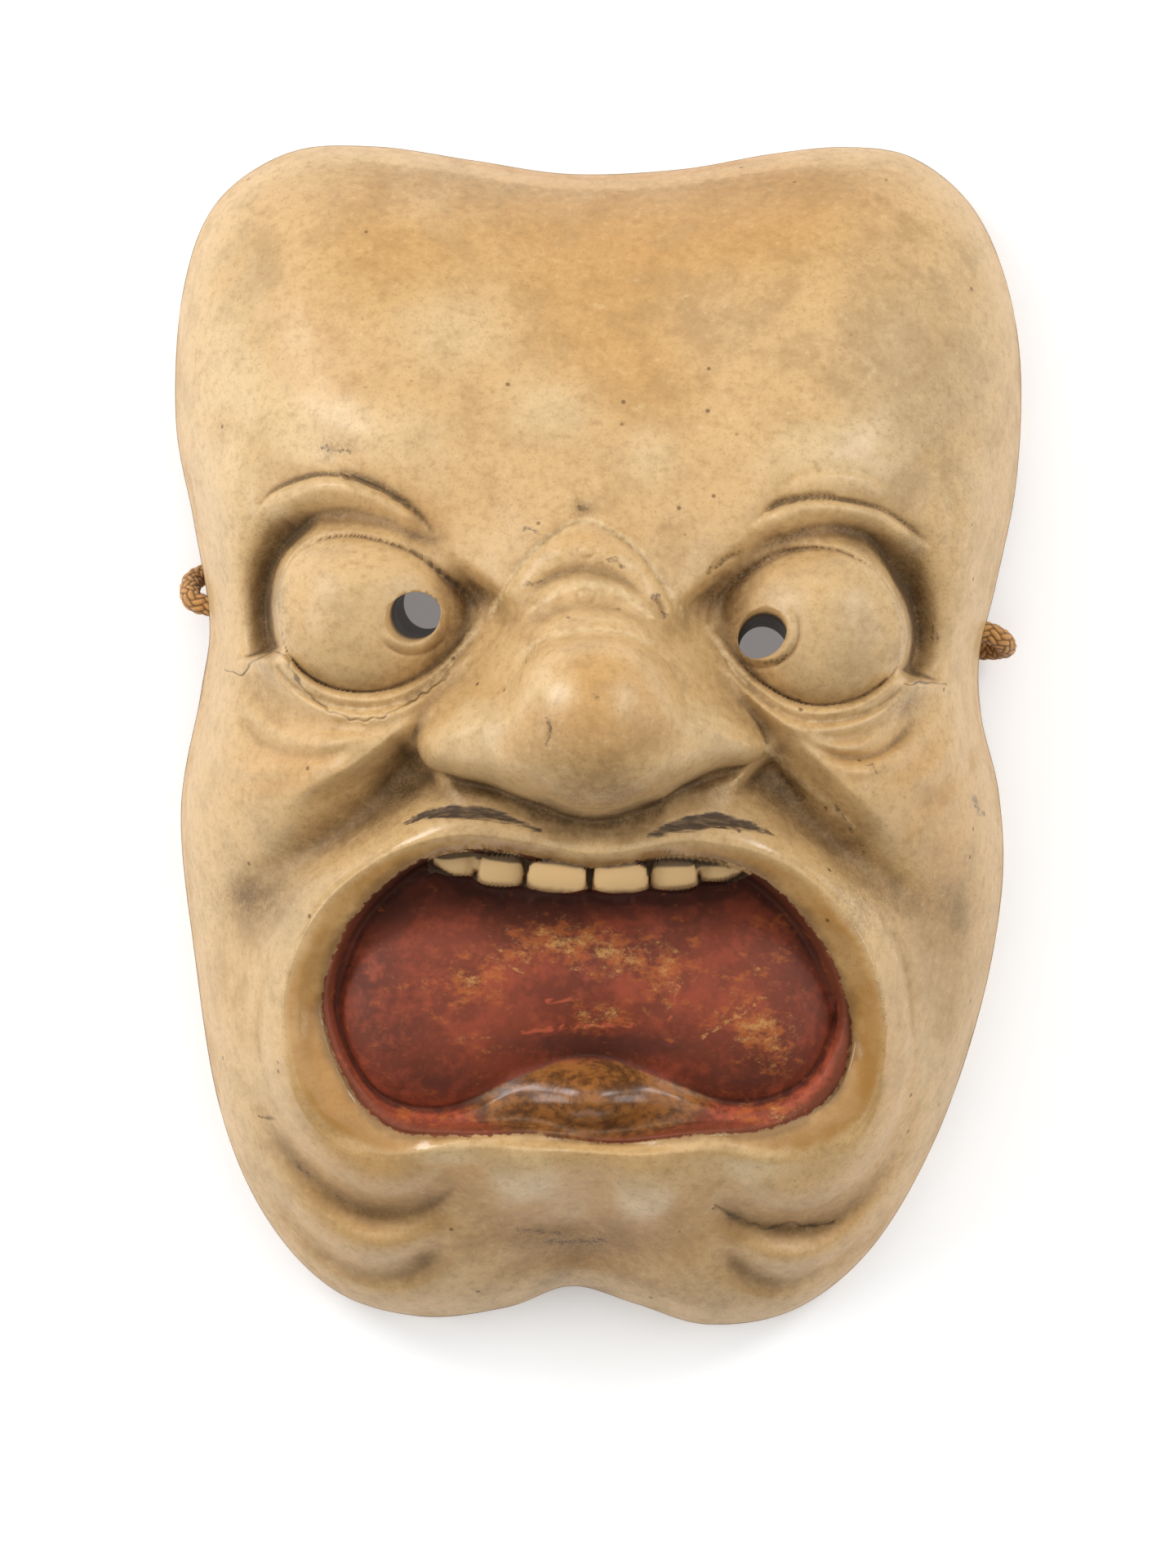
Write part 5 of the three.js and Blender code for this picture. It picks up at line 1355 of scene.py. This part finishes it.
# %% Cord route and braid
CORD_WIDTH = 3.8
CORD_ROUTE = [
    (-59.1, 22.6, 13), (-63, 22.6, 13), (-67.5, 22.6, 13), (-70.4, 23.4, 12.2), (-71.1, 25.2, 9.2),
    (-70.3, 27.2, 5.8), (-67.2, 28.3, 4.2), (-61, 28.0, 4.0), (-54, 24, 2.8), (-44, 15, 2.1),
    (-24, 6, 2.0), (0, 3, 2.0), (24, 4.6, 2.0), (44, 10, 2.3), (55, 13.4, 3.4), (62, 14.8, 4.2),
    (67.2, 15.0, 4.4), (70.2, 15.2, 6.4), (70.8, 15.8, 9.4), (69.4, 17.2, 12.2), (66, 18.4, 13),
    (62, 18.5, 13), (58.1, 18.5, 13),
]
STRANDS = 8
PITCH = 13.0
AROUND = 64
STEP_LENGTH = 0.22
KNOT_TUBE = 3.3


def frames_along(path, closed=False):
    """Way, side and other side at each point: the side is carried along so that the tube doesn't twist."""
    way = np.gradient(path, axis=0)
    if closed:
        way = np.roll(path, -1, 0) - np.roll(path, 1, 0)
    way /= np.linalg.norm(way, axis=1)[:, None]
    side = np.empty_like(way)
    side[0] = np.cross(way[0], [0, 0, 1]) if abs(way[0][2]) < 0.9 else np.cross(way[0], [0, 1, 0])
    for i in range(1, len(way)):
        side[i] = side[i - 1] - way[i] * (side[i - 1] @ way[i])
        side[i] /= np.linalg.norm(side[i])
    side[0] /= np.linalg.norm(side[0])
    return way, side, np.cross(way, side)


def even_path(line, gap):
    """The same line with places an even gap apart."""
    lengths = np.r_[0, np.cumsum(np.linalg.norm(np.diff(line, axis=0), axis=1))]
    at = np.linspace(0, lengths[-1], max(8, int(lengths[-1] / gap)))
    return np.column_stack([np.interp(at, lengths, line[:, k]) for k in range(3)]), at


def plait(turn, along):
    """Two sets of strands cross as u and v. Each passes over two and under two; the one on top is an arch."""
    u = STRANDS * (turn + along) / (2 * math.pi)
    v = STRANDS * (turn - along) / (2 * math.pi)
    on_top = (np.floor(u) - np.floor(v)) % 4 < 2
    across = np.where(on_top, u, v) % 1
    length = np.where(on_top, v - np.floor(u) + 1, u - np.floor(v) - 2) % 4 / 2
    return np.sin(math.pi * across) ** 0.7 * np.sin(math.pi * np.clip(length, 0, 1)) ** 0.4


def braided_tube(name, line, width, closed=False):
    """A tube whose radius follows the plait: full on the crown of a strand, less in the gaps between."""
    path, at = even_path(line, STEP_LENGTH)
    if closed:
        path, at = path[:-1], at[:-1]
    _, side, other = frames_along(path, closed)
    angle = np.linspace(0, 2 * math.pi, AROUND, endpoint=False)
    s, a = np.meshgrid(at * 2 * math.pi / PITCH, angle, indexing="ij")
    strand = plait(a, s)
    radius = width / 2 * (0.82 + 0.18 * strand)
    ring = np.cos(a)[..., None] * side[:, None] + np.sin(a)[..., None] * other[:, None]
    points = (path[:, None] + radius[..., None] * ring).reshape(-1, 3)
    rows = len(path)
    i, j = np.meshgrid(np.arange(rows if closed else rows - 1), np.arange(AROUND), indexing="ij")
    k, m = (i + 1) % rows, (j + 1) % AROUND
    corners = [i * AROUND + j, i * AROUND + m, k * AROUND + m, k * AROUND + j]
    faces = np.stack(corners, -1).reshape(-1, 4)
    if not closed:
        points = np.vstack([points, path[0], path[-1]])
    piece = mesh_of(name, points, faces)
    store(piece, "strand", np.append(strand.ravel(), [] if closed else [0, 0]))
    return piece, path


def close_ends(piece, rows):
    """Fans of triangles from the two loose end points to the first and last ring."""
    count = rows * AROUND
    j = np.arange(AROUND)
    m = (j + 1) % AROUND
    first = np.column_stack([np.full(AROUND, count), m, j])
    last = np.column_stack([np.full(AROUND, count + 1), count - AROUND + j, count - AROUND + m])
    old = np.array([face.vertices[:] for face in piece.data.polygons])
    corners = np.empty(len(piece.data.vertices) * 3)
    piece.data.vertices.foreach_get("co", corners)
    strand = np.empty(len(piece.data.vertices))
    piece.data.attributes["strand"].data.foreach_get("value", strand)
    data = bpy.data.meshes.new(piece.name)
    data.from_pydata(corners.reshape(-1, 3).tolist(), [], old.tolist() + first.tolist() + last.tolist())
    data.polygons.foreach_set("use_smooth", np.ones(len(data.polygons), bool))
    piece.data = data
    store(piece, "strand", strand)
    return piece


cord, cord_path = braided_tube("braided_cord", smooth_line(CORD_ROUTE, per=12), CORD_WIDTH)
close_ends(cord, len(cord_path))


# %% Knots
def knot_line(centre, reach):
    """A trefoil: a ring wound round twice while it bobs in and out three times, seen along X."""
    t = np.linspace(0, 2 * math.pi, 160)
    u = np.sin(t) + 2 * np.sin(2 * t)
    v = np.cos(t) - 2 * np.cos(2 * t)
    w = -np.sin(3 * t)
    shape = np.column_stack([w * 1.1, u, v])
    scale = (reach - KNOT_TUBE / 2) / np.abs(shape).max()
    return np.array(centre) + shape * scale


knots = []
for name, node in (("knot_left_tied", "knot_left"), ("knot_right_tied", "knot_right")):
    low, high = (np.array(corner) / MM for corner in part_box(node))
    knot, _ = braided_tube(name, knot_line((low + high) / 2, (high[1] - low[1]) / 2), KNOT_TUBE, closed=True)
    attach(knot, "root")
    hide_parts(node)
    knots.append(knot)

# %% [markdown]
# The braid is dyed cotton, browned by use. Cotton is matt, with a soft sheen at grazing angles. The gaps
# between strands are painted darker as painted shade, and fine noise across the strands stands for the yarn.

# %% Braided cotton
COTTON = linear("c89250")
COTTON_DARK = linear("714a1c")

cotton, tree, shader = new_material("braided_cotton")
place = add(tree, "ShaderNodeTexCoord", out=3)
strand = add(tree, "ShaderNodeAttribute", out=2, attribute_name="strand")
yarn = blots(0.35, 3.0, 0.6, place)
dye = blots(6, 3.0, 0.5, place)
# Painted shade: darker in the gaps between strands.
colour = laid(COTTON_DARK, COTTON, ranged(strand, 0.2, 0.75, 0.0, 1.0))
colour = laid(colour, COTTON_DARK, ranged(yarn, 0.5, 0.75, 0.0, 0.6))
colour = laid(colour, COTTON_DARK, ranged(dye, 0.5, 0.75, 0.0, 0.4))
tree.links.new(colour, shader.inputs["Base Color"])
bump = add(tree, "ShaderNodeBump", {"Strength": 0.7, "Distance": 0.1 * MM, "Height": yarn})
tree.links.new(bump, shader.inputs["Normal"])
shader.inputs["Roughness"].default_value = 0.8
shader.inputs["Sheen Weight"].default_value = 0.3
for piece in (cord, *knots):
    piece.data.materials.append(cotton)

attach(cord, "root")
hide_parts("cord")

# %% [markdown]
# ## Table and light
# A catalogue photograph: a white table under a very large soft ceiling light, a soft box above to the left
# and a weaker one to the right, and a long low window on each side that grazes the lips and the tongue. The
# room adds a little light from all round.

# %% Table and light
TABLE = linear("ffffff")
TABLE_REACH = 4000.0
TABLE_GAP = 0.05  # the table lies this far under the rim, so that the two don't share a plane
TABLE_GLOW = 0.2
LIGHTS = [
    ("ceiling", (0, 300, 1250), (3000, 3000), 22.5),
    ("key", (-950, 760, 750), (600, 500), 8.5),
    ("fill", (950, 700, 900), (350, 600), 5.5),
    ("left window", (-1300, -150, 720), (900, 260), 6.0),
    ("right window", (1300, -100, 720), (900, 260), 4.5),
]
ROOM = 0.12


def aim(thing, target):
    """Turns a light or camera so that it looks at a point."""
    way = np.array(target) - np.array(thing.location)
    tilt = math.acos(-way[2] / np.linalg.norm(way))
    thing.rotation_euler = (tilt, 0, math.atan2(way[1], way[0]) - math.pi / 2)


corners = np.array([(-1, -1, 0), (1, -1, 0), (1, 1, 0), (-1, 1, 0)]) * TABLE_REACH
table = mesh_of("table", corners - np.array([0, 0, TABLE_GAP]), np.array([[0, 1, 2, 3]]))
paper, tree, shader = new_material("white_paper")
shader.inputs["Base Color"].default_value = TABLE
shader.inputs["Roughness"].default_value = 0.9
shader.inputs["Specular IOR Level"].default_value = 0.0
shader.inputs["Emission Color"].default_value = TABLE
shader.inputs["Emission Strength"].default_value = TABLE_GLOW
table.data.materials.append(paper)
table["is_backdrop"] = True

for name, where, (width, depth), power in LIGHTS:
    lamp = in_scene(bpy.data.lights.new(name, "AREA"), name)
    lamp.data.shape = "RECTANGLE"
    lamp.data.size = width * MM
    lamp.data.size_y = depth * MM
    lamp.data.energy = power
    lamp.location = [v * MM for v in where]
    aim(lamp, (0, 0, 0))

world = bpy.data.worlds.new("room")
world.use_nodes = True
world.node_tree.nodes["Background"].inputs["Color"].default_value = (1, 1, 1, 1)
world.node_tree.nodes["Background"].inputs["Strength"].default_value = ROOM
bpy.context.scene.world = world

# %% [markdown]
# ## Last look at the size
# The finished pieces must stay in the box of the imported model, so the box round them is measured.

# %% Finish
low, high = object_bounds()
